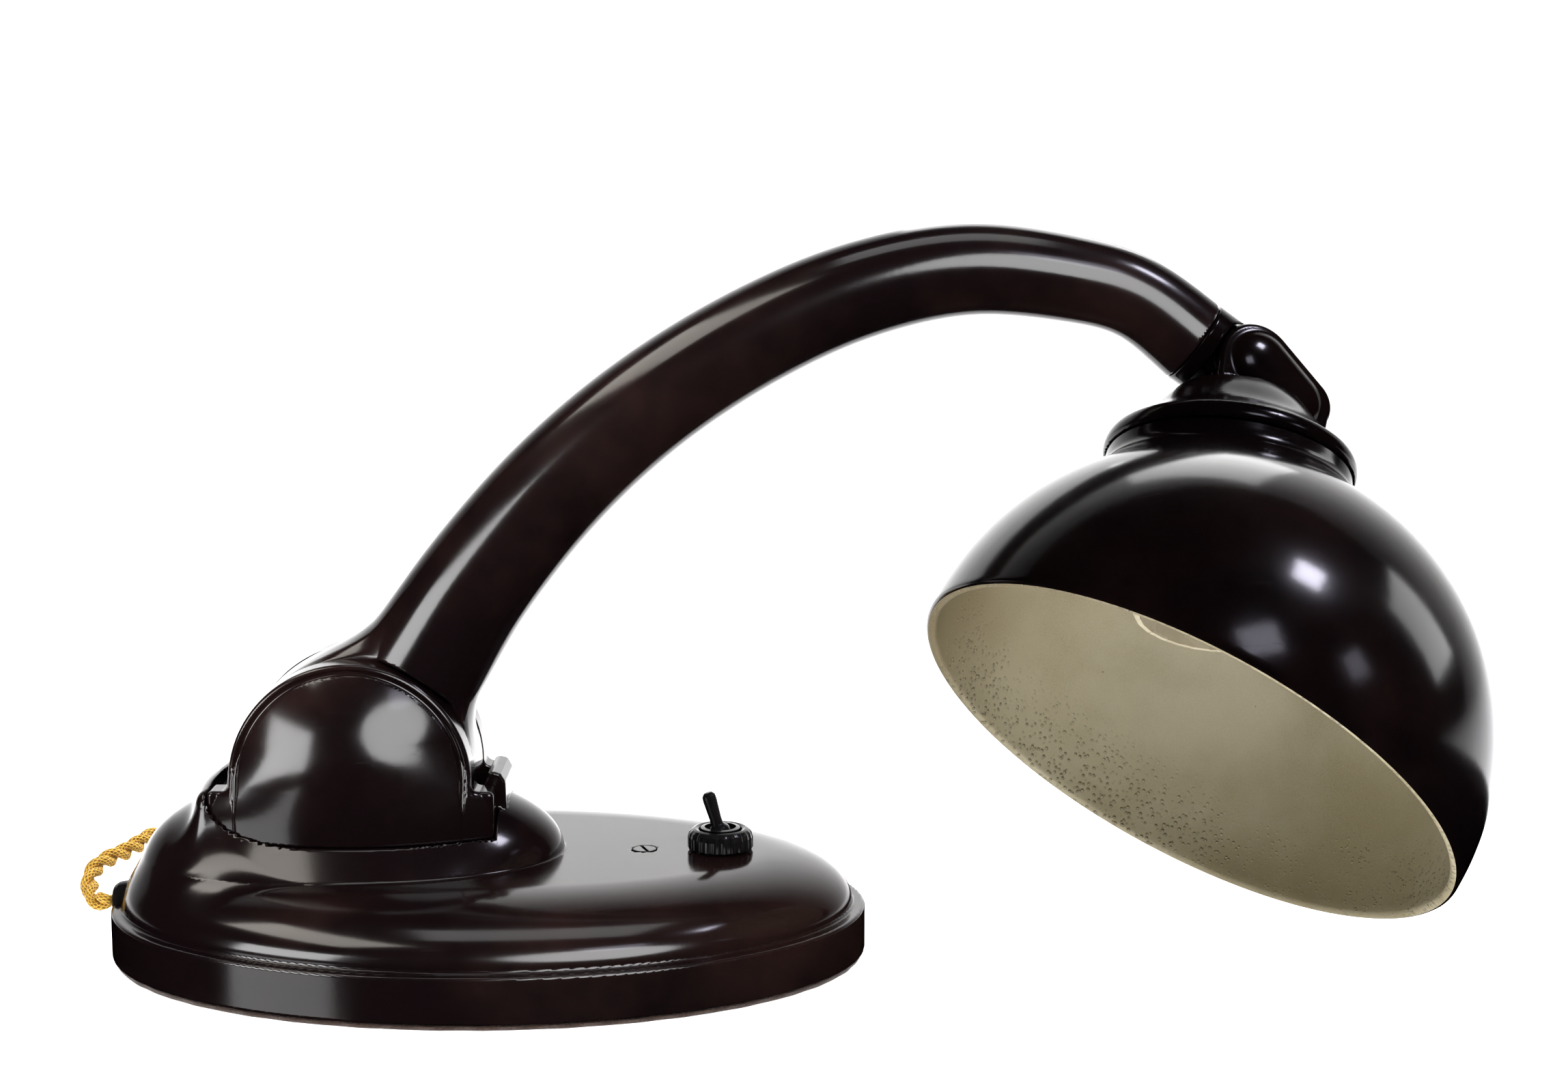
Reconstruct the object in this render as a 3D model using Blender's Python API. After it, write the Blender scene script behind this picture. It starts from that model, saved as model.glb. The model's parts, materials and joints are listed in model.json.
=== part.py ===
"""Adjustable desk lamp of moulded phenolic plastic, modelled piece by piece.

Metres, +Z up.  The origin is the middle of the underside of the felt, and +X points
from the arm's drum hinge towards the switch and the shade.  Every moving piece hangs
from an empty that stands on its joint's axis.
"""
import bpy
import bmesh
from math import acos, cos, pi, radians, sin, sqrt
from mathutils import Matrix, Quaternion, Vector

# ---------------------------------------------------------------- driving dimensions
GAP = 0.0003                    # clearance between two pieces that touch

# base: an oval shell on a felt, with a hump that carries the hinge
BASE_A, BASE_B = 0.110, 0.073   # half length and half width
FELT_THICK = 0.0015
PLATE_THICK = 0.0012
RIM_TOP = 0.0152
LEDGE = 0.0037                  # width of the ledge on top of the rim
TOP_Z = 0.0310                  # height of the flat top
CROWN_WIDTH = 0.030             # how far the rounded crown reaches in from the ledge
WALL = 0.0032
HUMP_X = -0.038
HUMP_A, HUMP_B, HUMP_H = 0.0600, 0.0385, 0.0242
HUMP_ROOF = 0.0355              # inside height under the hump

# drum hinge between base and arm
DRUM_X, DRUM_Z = -0.0372, 0.0551
DRUM_R = 0.0348
HUB_HALF = 0.0108               # half width of the arm's hub
CHEEK_IN, CHEEK_OUT = 0.0112, 0.0205
CHEEK_BULGE = 0.0105            # how far the cheek's face domes out
CHEEK_HALF = 0.0409             # half length of the cheek's square foot
CHEEK_FOOT, CHEEK_SHOULDER = 0.0395, 0.0530
PIVOT_R = 0.0030

# switch, small parts on the base
SWITCH_X = 0.0677
SCREW_X = 0.0455
BUSH_Z = 0.0155
PLATE_SCREWS = [(0.078, 0.030), (0.078, -0.030), (-0.078, 0.030), (-0.078, -0.030)]

# arm: centre line (x, z) and half height, from the hub to the tip
ARM_LINE = [
    (-0.0372, 0.0551, 0.0192),
    (-0.0172, 0.0873, 0.0183),
    (0.0143, 0.1311, 0.0163),
    (0.0527, 0.1655, 0.0150),
    (0.0987, 0.1909, 0.0141),
    (0.1400, 0.2004, 0.0132),
    (0.1780, 0.1946, 0.0122),
    (0.2024, 0.1799, 0.0119),
]
ARM_BORE = 0.0060

# head: the arm's tip points down at TIP_SLOPE, the knuckle is twisted about the tip by
# HEAD_TWIST, and the shade's neck stands at NECK_ANGLE to the tip
HEAD_PIVOT = Vector((0.2160, 0.0, 0.1700))
TIP_SLOPE = radians(36.0)
HEAD_TWIST = radians(-33.7)
NECK_ANGLE = radians(69.2)
TONGUE_HALF, TONGUE_R = 0.0054, 0.0098
SLOT_HALF, SLOT_R = 0.0067, 0.0112
HOOD_HALF, HOOD_R = 0.0115, 0.0118
HINGE_HEIGHT = 0.0305           # hinge axis above the seam between cap and shade
COLLAR_R = 0.0125

# shade: a sphere on the neck's axis, cut by a leaning plane
SHADE_R = 0.0791
SHADE_DROP = 0.0788             # sphere's centre below the seam
SHADE_WALL = 0.0030
MOUTH_LEAN = radians(19.8)
MOUTH_DROP = 0.0061             # mouth plane below the sphere's centre
SHADE_TURN = radians(16.2)      # where the mouth leans, seen along the neck
NECK_R = 0.0345

# mains flex: a twisted pair, its run to the coil, and the plug
FLEX_R = 0.0028
COIL_CENTRE = Vector((-0.0565, 0.1130, 0.0))
COIL_TURN_R = 0.0315            # middle of the turns
COIL_WIDE, COIL_HIGH = 2, 4     # turns side by side, and layers
PLUG_R = 0.0140
PLUG_SPOT = (-0.0600, 0.1385)   # on the far side of the coil
FLEX_ROUTE = [
    (-0.1111, 0.0000, 0.0153), (-0.1133, 0.0002, 0.0150), (-0.1161, 0.0024, 0.0142),
    (-0.1190, 0.0066, 0.0150), (-0.1208, 0.0120, 0.0173), (-0.1207, 0.0184, 0.0195),
    (-0.1186, 0.0254, 0.0205),
    (-0.1155, 0.0330, 0.0206), (-0.1125, 0.0420, 0.0211), (-0.1102, 0.0510, 0.0210),
    (-0.1086, 0.0600, 0.0172), (-0.1076, 0.0690, 0.0112), (-0.1066, 0.0790, 0.0060),
    (-0.1045, 0.0885, 0.0034), (-0.1008, 0.0975, FLEX_R), (-0.0968, 0.1070, FLEX_R),
]


# ---------------------------------------------------------------------- helpers
def clear_scene():
    """Removes what is in the scene, so that the script can be run again."""
    for obj in list(bpy.data.objects):
        bpy.data.objects.remove(obj, do_unlink=True)


def make_material(name, colour, roughness, metallic=0.0):
    mat = bpy.data.materials.new(name)
    mat.use_nodes = True
    shader = mat.node_tree.nodes["Principled BSDF"]
    shader.inputs["Base Color"].default_value = (*colour, 1.0)
    shader.inputs["Roughness"].default_value = roughness
    shader.inputs["Metallic"].default_value = metallic
    mat.diffuse_color = (*colour, 1.0)
    return mat


def add_empty(name, matrix):
    """A frame on a joint's axis; the pieces that move with it are its children."""
    empty = bpy.data.objects.new(name, None)
    empty.empty_display_size = 0.01
    empty.matrix_world = matrix
    bpy.context.collection.objects.link(empty)
    return empty


def frame_matrix(origin, x_axis, z_axis):
    """Matrix of a frame from its origin and two of its axes."""
    x = Vector(x_axis).normalized()
    z = Vector(z_axis).normalized()
    y = z.cross(x)
    rot = Matrix((x, y, z)).transposed()
    return Matrix.Translation(origin) @ rot.to_4x4()


def add_object(name, bm, mat, parent=None, sharp=35.0):
    """Makes the bmesh into an object in its parent's frame, with faces pointing out."""
    bmesh.ops.recalc_face_normals(bm, faces=bm.faces)
    mesh = bpy.data.meshes.new(name)
    bm.to_mesh(mesh)
    bm.free()
    mesh.shade_smooth()
    mesh.set_sharp_from_angle(angle=radians(sharp))
    mesh.materials.append(mat)
    obj = bpy.data.objects.new(name, mesh)
    bpy.context.collection.objects.link(obj)
    obj.parent = parent
    return obj


def loft(rings, cyclic=False):
    """Skins a list of closed rings.  A ring of one point is a pole.  Open ends that
    are not poles get a flat cap; a cyclic loft joins its last ring to its first."""
    bm = bmesh.new()
    rows = [[bm.verts.new(p) for p in ring] for ring in rings]
    pairs = list(zip(rows, rows[1:]))
    if cyclic:
        pairs.append((rows[-1], rows[0]))
    for low, high in pairs:
        count = max(len(low), len(high))
        for i in range(count):
            j = (i + 1) % count
            if len(low) == 1:
                bm.faces.new((low[0], high[j], high[i]))
            elif len(high) == 1:
                bm.faces.new((low[i], low[j], high[0]))
            else:
                bm.faces.new((low[i], low[j], high[j], high[i]))
    if not cyclic:
        for ring in (rows[0], rows[-1]):
            if len(ring) > 2:
                bm.faces.new(ring)
    return bm


def circle(radius, z, segments, centre=(0.0, 0.0)):
    """A ring of points about Z; one point where the radius is zero."""
    if radius == 0.0:
        return [Vector((centre[0], centre[1], z))]
    step = 2.0 * pi / segments
    return [Vector((centre[0] + radius * cos(step * i), centre[1] + radius * sin(step * i), z))
            for i in range(segments)]


AXIS_TURN = {
    "X": Matrix.Rotation(pi / 2, 4, "Y"),      # the profile's +z becomes +X
    "Y": Matrix.Rotation(-pi / 2, 4, "X"),     # the profile's +z becomes +Y
    "Z": Matrix.Identity(4),
}


def turned(name, profile, mat, parent=None, at=(0, 0, 0), axis="Z", segments=32, tube=False):
    """A turned piece.  The profile is (radius, height) pairs; a tube's profile is closed."""
    bm = loft([circle(r, z, segments) for r, z in profile], cyclic=tube)
    bm.transform(Matrix.Translation(at) @ AXIS_TURN[axis])
    return add_object(name, bm, mat, parent)


def rod(name, radius, low, high, mat, parent=None, at=(0, 0, 0), axis="Z", segments=20):
    """A plain cylinder between two heights on an axis."""
    return turned(name, [(radius, low), (radius, high)], mat, parent, at, axis, segments)


def prism(name, outline, low, high, mat, parent=None, axis="Z"):
    """An outline, extruded: (x, y) along Z, or (x, z) along Y."""
    if axis == "Z":
        rings = [[Vector((u, v, h)) for u, v in outline] for h in (low, high)]
    else:
        rings = [[Vector((u, h, v)) for u, v in outline] for h in (low, high)]
    return add_object(name, loft(rings), mat, parent)


def sweep(path, radii, segments):
    """Rings along a path in the XZ plane; radii are (in the plane, along Y)."""
    rings = []
    for i, point in enumerate(path):
        before = path[max(i - 1, 0)]
        after = path[min(i + 1, len(path) - 1)]
        along = (after - before).normalized()
        up = Vector((-along.z, 0.0, along.x))
        side = Vector((0.0, 1.0, 0.0))
        tall, wide = radii[i]
        rings.append([point + up * tall * cos(2 * pi * k / segments)
                      + side * wide * sin(2 * pi * k / segments) for k in range(segments)])
    return loft(rings)


def spline(points, steps):
    """A smooth curve through the points (Catmull-Rom), with steps spans for each pair."""
    pts = [Vector(p) for p in points]
    pts = [2 * pts[0] - pts[1]] + pts + [2 * pts[-1] - pts[-2]]
    curve = []
    for a, b, c, d in zip(pts, pts[1:], pts[2:], pts[3:]):
        for k in range(steps):
            t = k / steps
            curve.append(0.5 * (2 * b + (c - a) * t + (2 * a - 5 * b + 4 * c - d) * t ** 2
                                + (3 * b - a - 3 * c + d) * t ** 3))
    curve.append(pts[-2])
    return curve


def wire(name, points, radius, mat, parent=None, resolution=2):
    """A round cord or wire along the points, with closed ends."""
    data = bpy.data.curves.new(name, "CURVE")
    data.dimensions = "3D"
    data.bevel_depth = radius
    data.bevel_resolution = resolution
    data.use_fill_caps = True
    line = data.splines.new("POLY")
    line.points.add(len(points) - 1)
    for spot, point in zip(line.points, points):
        spot.co = (*point, 1.0)
    data.materials.append(mat)
    obj = bpy.data.objects.new(name, data)
    bpy.context.collection.objects.link(obj)
    obj.parent = parent
    return obj


def use_cutter(obj, cutter, operation="DIFFERENCE"):
    """Adds an exact Boolean; the cutter itself is a guide and is not part of the lamp."""
    mod = obj.modifiers.new(cutter.name, "BOOLEAN")
    mod.operation = operation
    mod.solver = "EXACT"
    mod.object = cutter
    cutter.hide_render = True
    cutter.display_type = "WIRE"


def cut(obj, *cutters):
    for cutter in cutters:
        use_cutter(obj, cutter)


def join(obj, *adders):
    for adder in adders:
        use_cutter(obj, adder, "UNION")


# ------------------------------------------------------------------------ frames
TIP_DIR = Vector((cos(TIP_SLOPE), 0.0, -sin(TIP_SLOPE)))
HINGE_AXIS = Quaternion(TIP_DIR, HEAD_TWIST) @ Vector((0.0, 1.0, 0.0))
TIP_UP = TIP_DIR.cross(HINGE_AXIS)
NECK_DIR = TIP_UP * sin(NECK_ANGLE) - TIP_DIR * cos(NECK_ANGLE)
HEAD_SIDE = HINGE_AXIS.cross(NECK_DIR)
SEAM = HEAD_PIVOT - NECK_DIR * HINGE_HEIGHT


# ------------------------------------------------------------------- base, casing
def oval(inset, z, segments=48):
    """The base's outline moved inwards by inset, at height z."""
    ring = []
    for i in range(segments):
        t = 2 * pi * i / segments
        point = Vector((BASE_A * cos(t), BASE_B * sin(t), z))
        normal = Vector((cos(t) / BASE_A, sin(t) / BASE_B, 0.0)).normalized()
        ring.append(point - normal * inset)
    return ring


def crown_rings(start_inset, start_z, rise, steps):
    """The rounded crown, a quarter of an ellipse in section."""
    return [oval(start_inset + CROWN_WIDTH * (1 - cos(a)), start_z + rise * sin(a))
            for a in (pi / 2 * k / steps for k in range(1, steps + 1))]


def hump_rings(grow, low, roof, steps=6, segments=36):
    """The hump: a half ellipsoid at its ends, with straighter flanks at its sides."""
    rings = []
    for k in range(steps + 1):
        rho = 1.0 - (k / steps) ** 1.5 * 0.75
        ring = []
        for i in range(segments):
            t = 2 * pi * i / segments
            ends = sqrt(1.0 - rho ** 2)
            flank = min(1.0, 1.8 * (1.0 - rho))
            weight = sin(t) ** 2
            height = TOP_Z + grow + HUMP_H * ((1 - weight) * ends + weight * flank)
            x = HUMP_X + (HUMP_A + grow) * rho * cos(t)
            y = (HUMP_B + grow) * rho * sin(t)
            ring.append(Vector((x, y, min(height, roof))))
        rings.append(ring)
    foot = [Vector((p.x, p.y, low)) for p in rings[0]]
    pole = [Vector((HUMP_X, 0.0, min(TOP_Z + grow + HUMP_H, roof)))]
    return [foot] + rings + [pole]


def cheek_half_depth(dx, z):
    """How far the outside of a cheek stands out at dx from the hinge and height z.  It
    is a dome above, and as wide as the square foot below the shoulder."""
    rise = min(max((z - 0.0500) / 0.0120, 0.0), 1.0)
    half = CHEEK_HALF + (DRUM_R - CHEEK_HALF) * rise * rise * (3.0 - 2.0 * rise)
    reach = sqrt(dx ** 2 + max(z - DRUM_Z, 0.0) ** 2) / half
    return CHEEK_OUT + CHEEK_BULGE * max(0.0, 1.0 - reach ** 2)


def lip_outline(side):
    """The leaning lip that closes the slot in front of (side 1) or behind the hub."""
    shape = [(0.0352, 0.0380), (0.0352, 0.0490), (0.0384, 0.0562), (0.0398, 0.0566),
             (0.0420, 0.0560), (0.0434, 0.0535), (0.0438, 0.0380)]
    return [(DRUM_X + side * dx, z) for dx, z in shape]


def pocket_outline(side):
    """Plan of the pocket that one cheek stands in."""
    half = CHEEK_HALF + GAP
    count = 16
    xs = [half * (2 * k / count - 1) for k in range(count + 1)]
    edge = [(DRUM_X + dx, side * (cheek_half_depth(dx, 0.0) + GAP)) for dx in xs]
    return edge + [(DRUM_X + half, side * (HUB_HALF + 0.0001)),
                   (DRUM_X - half, side * (HUB_HALF + 0.0001))]


def build_shell_body(mats):
    """The oval shell with its hump, hollow underneath, with a boss for each plate screw."""
    low = FELT_THICK + GAP
    outer = [oval(0.0008, low), oval(0.0, low + 0.0008), oval(0.0, RIM_TOP - 0.0007),
             oval(0.0008, RIM_TOP), oval(LEDGE - 0.0004, RIM_TOP + 0.0002),
             oval(LEDGE, RIM_TOP + 0.0006)]
    outer += crown_rings(LEDGE, RIM_TOP + 0.0006, TOP_Z - RIM_TOP - 0.0006, 6)
    shell = add_object("base_shell", loft(outer), mats["bakelite"])

    hump = add_object("add_hump", loft(hump_rings(0.0, 0.027, 0.0560)), mats["bakelite"])
    join(shell, hump)

    step_in = oval(0.0036, -0.001), oval(0.0036, 0.0118)
    inner = list(step_in) + [oval(LEDGE + WALL, 0.0124)]
    inner += crown_rings(LEDGE + WALL, 0.0124, TOP_Z - WALL - 0.0124, 3)
    hollow = add_object("cut_hollow", loft(inner), mats["bakelite"])
    hump_in = add_object("cut_hump", loft(hump_rings(-0.0045, 0.020, HUMP_ROOF, 4, 20)),
                         mats["bakelite"])
    cut(shell, hollow, hump_in)

    for k, (x, y) in enumerate(PLATE_SCREWS):
        boss = rod(f"add_boss_{k}", 0.0044, 0.0034, 0.0262, mats["bakelite"], at=(x, y, 0),
                   segments=12)
        hole = rod(f"cut_boss_{k}", 0.0018, 0.0, 0.0150, mats["bakelite"], at=(x, y, 0),
                   segments=8)
        join(shell, boss)
        cut(shell, hole)
    return shell


def cut_hinge_seat(mats, shell):
    """Lips in front of and behind the hub, pockets for the cheeks and a slot for the hub."""
    for side in (-1, 1):
        lip = prism(f"add_lip_{side + 1}", lip_outline(side), -HUB_HALF, HUB_HALF,
                    mats["bakelite"], axis="Y")
        join(shell, lip)
    for side in (-1, 1):
        pocket = prism(f"cut_pocket_{side + 1}", pocket_outline(side), CHEEK_FOOT - GAP, 0.07,
                       mats["bakelite"])
        cut(shell, pocket)
    reach, wide = DRUM_R + 0.0012, HUB_HALF + 0.0004
    slot = [(DRUM_X - reach, -wide), (DRUM_X + reach, -wide),
            (DRUM_X + reach, wide), (DRUM_X - reach, wide)]
    cut(shell, prism("cut_hub_slot", slot, 0.010, 0.08, mats["bakelite"]))


def build_cheeks(mats, shell):
    """The two hinge cheeks and the screws that hold them from inside the hump."""
    screw_xs = [DRUM_X - 0.026, DRUM_X + 0.026]
    for side, word in ((-1, "near"), (1, "far")):
        cheek = add_object(f"hinge_cheek_{word}", cheek_mesh(side), mats["bakelite"])
        bolt_hole = rod(f"cut_cheek_bolt_{word}", 0.0069, side * 0.0110, side * 0.0176,
                        mats["bakelite"], at=(DRUM_X, 0, DRUM_Z), axis="Y", segments=16)
        washer_seat = rod(f"cut_cheek_seat_{word}", 0.0124, side * 0.0108, side * 0.0124,
                          mats["bakelite"], at=(DRUM_X, 0, DRUM_Z), axis="Y", segments=24)
        cut(cheek, washer_seat, bolt_hole)
        for k, x in enumerate(screw_xs):
            y = side * 0.0158
            cut(shell, rod(f"cut_cheek_hole_{word}_{k}", 0.0019, 0.030, 0.045,
                           mats["bakelite"], at=(x, y, 0), segments=12))
            cut(cheek, rod(f"cut_cheek_thread_{word}_{k}", 0.0018, 0.030, 0.0490,
                           mats["bakelite"], at=(x, y, 0), segments=12))
            head = HUMP_ROOF - GAP
            turned(f"cheek_screw_{word}_{k + 1}",
                   [(0.0, head - 0.0020), (0.0026, head - 0.0019), (0.0030, head - 0.0012),
                    (0.0030, head), (0.0015, head), (0.0015, 0.0484), (0.0, 0.0484)],
                   mats["steel"], at=(x, y, 0), segments=12)


def cut_shell_holes(mats, shell):
    """Holes for the switch, the ballast's screw and the cord's bushing."""
    cut(shell, rod("cut_switch_hole", 0.0063, 0.02, 0.04, mats["bakelite"],
                   at=(SWITCH_X, 0, 0), segments=24))
    cut(shell, turned("cut_top_screw", [(0.0019, 0.02), (0.0019, 0.0282), (0.0038, 0.0301),
                                        (0.0038, 0.04)], mats["bakelite"],
                      at=(SCREW_X, 0, 0), segments=20))
    cut(shell, rod("cut_bushing_hole", 0.0058, -0.118, -0.085, mats["bakelite"],
                   at=(0, 0, BUSH_Z), axis="X", segments=20))


def build_underside(mats):
    """Bottom plate with its screws, the felt, and the ballast above them."""
    plate_low = FELT_THICK + GAP
    plate = add_object("base_plate", loft([oval(0.0040, plate_low),
                                           oval(0.0040, plate_low + PLATE_THICK)]), mats["steel"])
    add_object("felt_pad", loft([oval(0.0012, 0.0), oval(0.0012, FELT_THICK)]), mats["felt"])
    for k, (x, y) in enumerate(PLATE_SCREWS):
        cut(plate, rod(f"cut_plate_hole_{k}", 0.0019, 0.0, 0.006, mats["steel"], at=(x, y, 0),
                       segments=12))
        rod(f"plate_screw_{k + 1}", 0.0015, plate_low, 0.0125, mats["steel"], at=(x, y, 0),
            segments=12)

    build_ballast(mats, plate_low + PLATE_THICK + GAP)


def build_base_casing(mats):
    shell = build_shell_body(mats)
    cut_hinge_seat(mats, shell)
    build_cheeks(mats, shell)
    cut_shell_holes(mats, shell)
    build_underside(mats)


def cheek_mesh(side):
    """A cheek: flat inside, domed outside, round above and square at its foot."""
    columns, rows = 20, 5
    half = CHEEK_HALF
    angles = [pi * k / columns for k in range(columns + 1)]
    spots = [(-DRUM_R * cos(a), DRUM_Z + DRUM_R * sin(a)) for a in angles]
    spots = [(-half, CHEEK_SHOULDER), (-DRUM_R - 0.0001, CHEEK_SHOULDER)] + spots
    spots += [(DRUM_R + 0.0001, CHEEK_SHOULDER), (half, CHEEK_SHOULDER)]
    bm = bmesh.new()
    inside, outside = [], []
    for dx, top in spots:
        heights = [CHEEK_FOOT + (top - CHEEK_FOOT) * k / rows for k in range(rows + 1)]
        inside.append([bm.verts.new((DRUM_X + dx, side * CHEEK_IN, z))
                       for z in (heights[0], heights[-1])])
        outside.append([bm.verts.new((DRUM_X + dx, side * cheek_half_depth(dx, z), z))
                        for z in heights])
    for a, b, c, d in zip(outside, outside[1:], inside, inside[1:]):
        for k in range(rows):
            bm.faces.new((a[k], b[k], b[k + 1], a[k + 1]))
        bm.faces.new((c[0], d[0], d[1], c[1]))
        bm.faces.new((a[0], b[0], d[0], c[0]))
        bm.faces.new((a[-1], b[-1], d[1], c[1]))
    for edge, back in ((outside[0], inside[0]), (outside[-1], inside[-1])):
        bm.faces.new(edge + [back[1], back[0]])
    return bm


def build_ballast(mats, low):
    """Cast-iron weight on the plate, held by the screw in the top of the base."""
    high = low + 0.0085
    ring = [[Vector((0.070 * cos(t), 0.046 * sin(t), z)) for t in
             (2 * pi * i / 48 for i in range(48))] for z in (low, high)]
    weight = add_object("ballast_weight", loft(ring), mats["iron"])
    cut(weight, rod("cut_weight_hole", 0.0019, 0.0, 0.03, mats["iron"], at=(SCREW_X, 0, 0),
                    segments=12))
    turned("top_screw", [(0.0, 0.0045), (0.0015, 0.0045), (0.0015, 0.0284), (0.0034, 0.0303),
                         (0.0034, 0.0310), (0.0, 0.0311)], mats["bakelite"],
           at=(SCREW_X, 0, 0), segments=20)


# ------------------------------------------------------- base, small and inner pieces
def build_hinge_hardware(mats):
    """Bolt, nut and friction washers of the drum hinge."""
    at = (DRUM_X, 0, DRUM_Z)
    turned("pivot_bolt", [(0.0, -0.0166), (0.0058, -0.0166), (0.0062, -0.0162), (0.0062, -0.0128),
                          (PIVOT_R, -0.0128), (PIVOT_R, 0.0168), (0.0, 0.0168)],
           mats["steel"], at=at, axis="Y", segments=18)
    hexagon = cos(pi / 6)
    bore = (PIVOT_R + GAP) / hexagon
    turned("pivot_nut", [(bore, 0.0128), (0.0064, 0.0128), (0.0064, 0.0162), (bore, 0.0162)],
           mats["steel"], at=at, axis="Y", segments=6, tube=True)
    for side, word in ((-1, "near"), (1, "far")):
        low, high = side * 0.0111, side * 0.0121
        turned(f"friction_washer_{word}", [(PIVOT_R + GAP, low), (0.0119, low), (0.0119, high),
                                           (PIVOT_R + GAP, high)],
               mats["steel"], at=at, axis="Y", segments=18, tube=True)


def build_switch(mats, lever_frame):
    """Toggle switch: body inside, threaded bush, ribbed collar, lever."""
    at = (SWITCH_X, 0, 0)
    turned("switch_body", [(0.0, 0.0145), (0.0105, 0.0145), (0.0110, 0.0150), (0.0110, 0.0270),
                           (0.0060, 0.0270), (0.0060, 0.0375), (0.0044, 0.0375),
                           (0.0040, 0.0300), (0.0, 0.0300)], mats["brass"], at=at, segments=24)
    ribs = 20
    outline = []
    for k in range(ribs):
        for part, radius in ((0.0, 0.0096), (0.5, 0.0091)):
            outline.append((radius, 2 * pi * (k + part) / ribs))
    levels = [(0.0, TOP_Z + GAP), (0.0, 0.0362), (-0.0018, 0.0375)]
    rings = [[Vector((SWITCH_X + (r + d) * cos(a), (r + d) * sin(a), z)) for r, a in outline]
             for d, z in levels]
    bore = [[Vector((SWITCH_X + 0.0063 * cos(a), 0.0063 * sin(a), z)) for _, a in outline]
            for z in (0.0372, TOP_Z + GAP)]
    add_object("switch_collar", loft(rings + bore, cyclic=True), mats["black"])
    turned("switch_lever", [(0.0, -0.0030), (0.0022, -0.0024), (0.0030, 0.0), (0.0024, 0.0022),
                            (0.0022, 0.0060), (0.0021, 0.0120), (0.0017, 0.0129), (0.0, 0.0133)],
           mats["black"], lever_frame, segments=16)


def build_cord_entry(mats):
    """Bushing, clamp and terminals of the mains flex, and the leads inside the base."""
    turned("cord_bushing", [(0.0031, -0.0985), (0.0055, -0.0985), (0.0055, -0.1086),
                            (0.0049, -0.1099), (0.0038, -0.1105), (0.0031, -0.1103)],
           mats["black"], at=(0, 0, BUSH_Z), axis="X", segments=20, tube=True)
    clamp = [(-0.0965, -0.0075), (-0.0925, -0.0075), (-0.0925, 0.0075), (-0.0965, 0.0075)]
    prism("cord_clamp", clamp, 0.0187, 0.0205, mats["steel"])
    block = [(-0.0880, -0.0090), (-0.0760, -0.0090), (-0.0760, 0.0090), (-0.0880, 0.0090)]
    prism("terminal_block", block, 0.0045, 0.0145, mats["ceramic"])
    leads = spline([(-0.0750, 0.0040, 0.0150), (-0.060, 0.0180, 0.0150), (-0.030, 0.0290, 0.0150),
                    (0.010, 0.0290, 0.0150), (0.040, 0.0180, 0.0160), (0.0550, 0.0060, 0.0190)], 3)
    wire("switch_leads", leads, 0.0016, mats["rubber"], resolution=1)


# --------------------------------------------------------------------------- arm
def arm_rings(steps=3):
    """Centre line of the arm, with the half height and half width of each section."""
    path = spline([(x, 0.0, z) for x, z, _ in ARM_LINE], steps)
    tall = spline([(0.0, 0.0, r) for _, _, r in ARM_LINE], steps)
    hub = Vector((DRUM_X, 0.0, DRUM_Z))
    radii = []
    for point, size in zip(path, tall):
        out = ((point - hub).length - 0.0365) / 0.016
        ease = min(max(out, 0.0), 1.0)
        ease = ease * ease * (3 - 2 * ease)
        narrow = HUB_HALF - 0.0006
        radii.append((size.z, narrow + (size.z * 0.95 - narrow) * ease))
    return path, radii


def build_arm(mats, frame):
    """The curved arm with its hub, in the frame of the drum hinge."""
    path, radii = arm_rings()
    local = [p - Vector((DRUM_X, 0.0, DRUM_Z)) for p in path]
    tip = HEAD_PIVOT - TIP_DIR * (0.0168) - Vector((DRUM_X, 0.0, DRUM_Z))
    local[-1] = tip
    local[-2] = tip - TIP_DIR * 0.0030
    radii[-1] = (COLLAR_R, COLLAR_R)
    radii[-2] = (COLLAR_R, COLLAR_R)
    hub_r, edge = DRUM_R - 0.0012, 0.0007
    arm = turned("arm", [(0.0, -HUB_HALF), (hub_r - edge, -HUB_HALF), (hub_r, -HUB_HALF + edge),
                         (hub_r, HUB_HALF - edge), (hub_r - edge, HUB_HALF), (0.0, HUB_HALF)],
                 mats["bakelite"], frame, axis="Y", segments=36)
    tube = add_object("add_arm_tube", sweep(local[1:], radii[1:], 16), mats["bakelite"], frame)
    join(arm, tube)
    hub_hollow = rod("cut_hub_hollow", 0.0265, -0.0072, 0.0072, mats["bakelite"], frame, axis="Y",
                     segments=28)
    window = prism("cut_hub_window", [(-0.009, -0.040), (0.009, -0.040), (0.009, -0.020),
                                      (-0.009, -0.020)], -0.0072, 0.0072, mats["bakelite"],
                   frame, axis="Y")
    bolt = rod("cut_hub_bolt", PIVOT_R + GAP, -0.02, 0.02, mats["bakelite"], frame, axis="Y",
               segments=14)
    bore_path = local[2:-2] + [tip - TIP_DIR * 0.010, tip + TIP_DIR * 0.004]
    bore = add_object("cut_arm_bore", sweep(bore_path, [(ARM_BORE, ARM_BORE)] * len(bore_path), 8),
                      mats["bakelite"], frame)
    socket_low = tip - TIP_DIR * 0.0125
    socket = add_object("cut_tip_socket", sweep([socket_low, tip + TIP_DIR * 0.004],
                                                [(0.0082, 0.0082)] * 2, 24), mats["bakelite"], frame)
    cut(arm, hub_hollow, window, bolt, bore, socket)
    wire("arm_leads", local[2:-2], 0.0022, mats["rubber"], frame, resolution=1)


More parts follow.
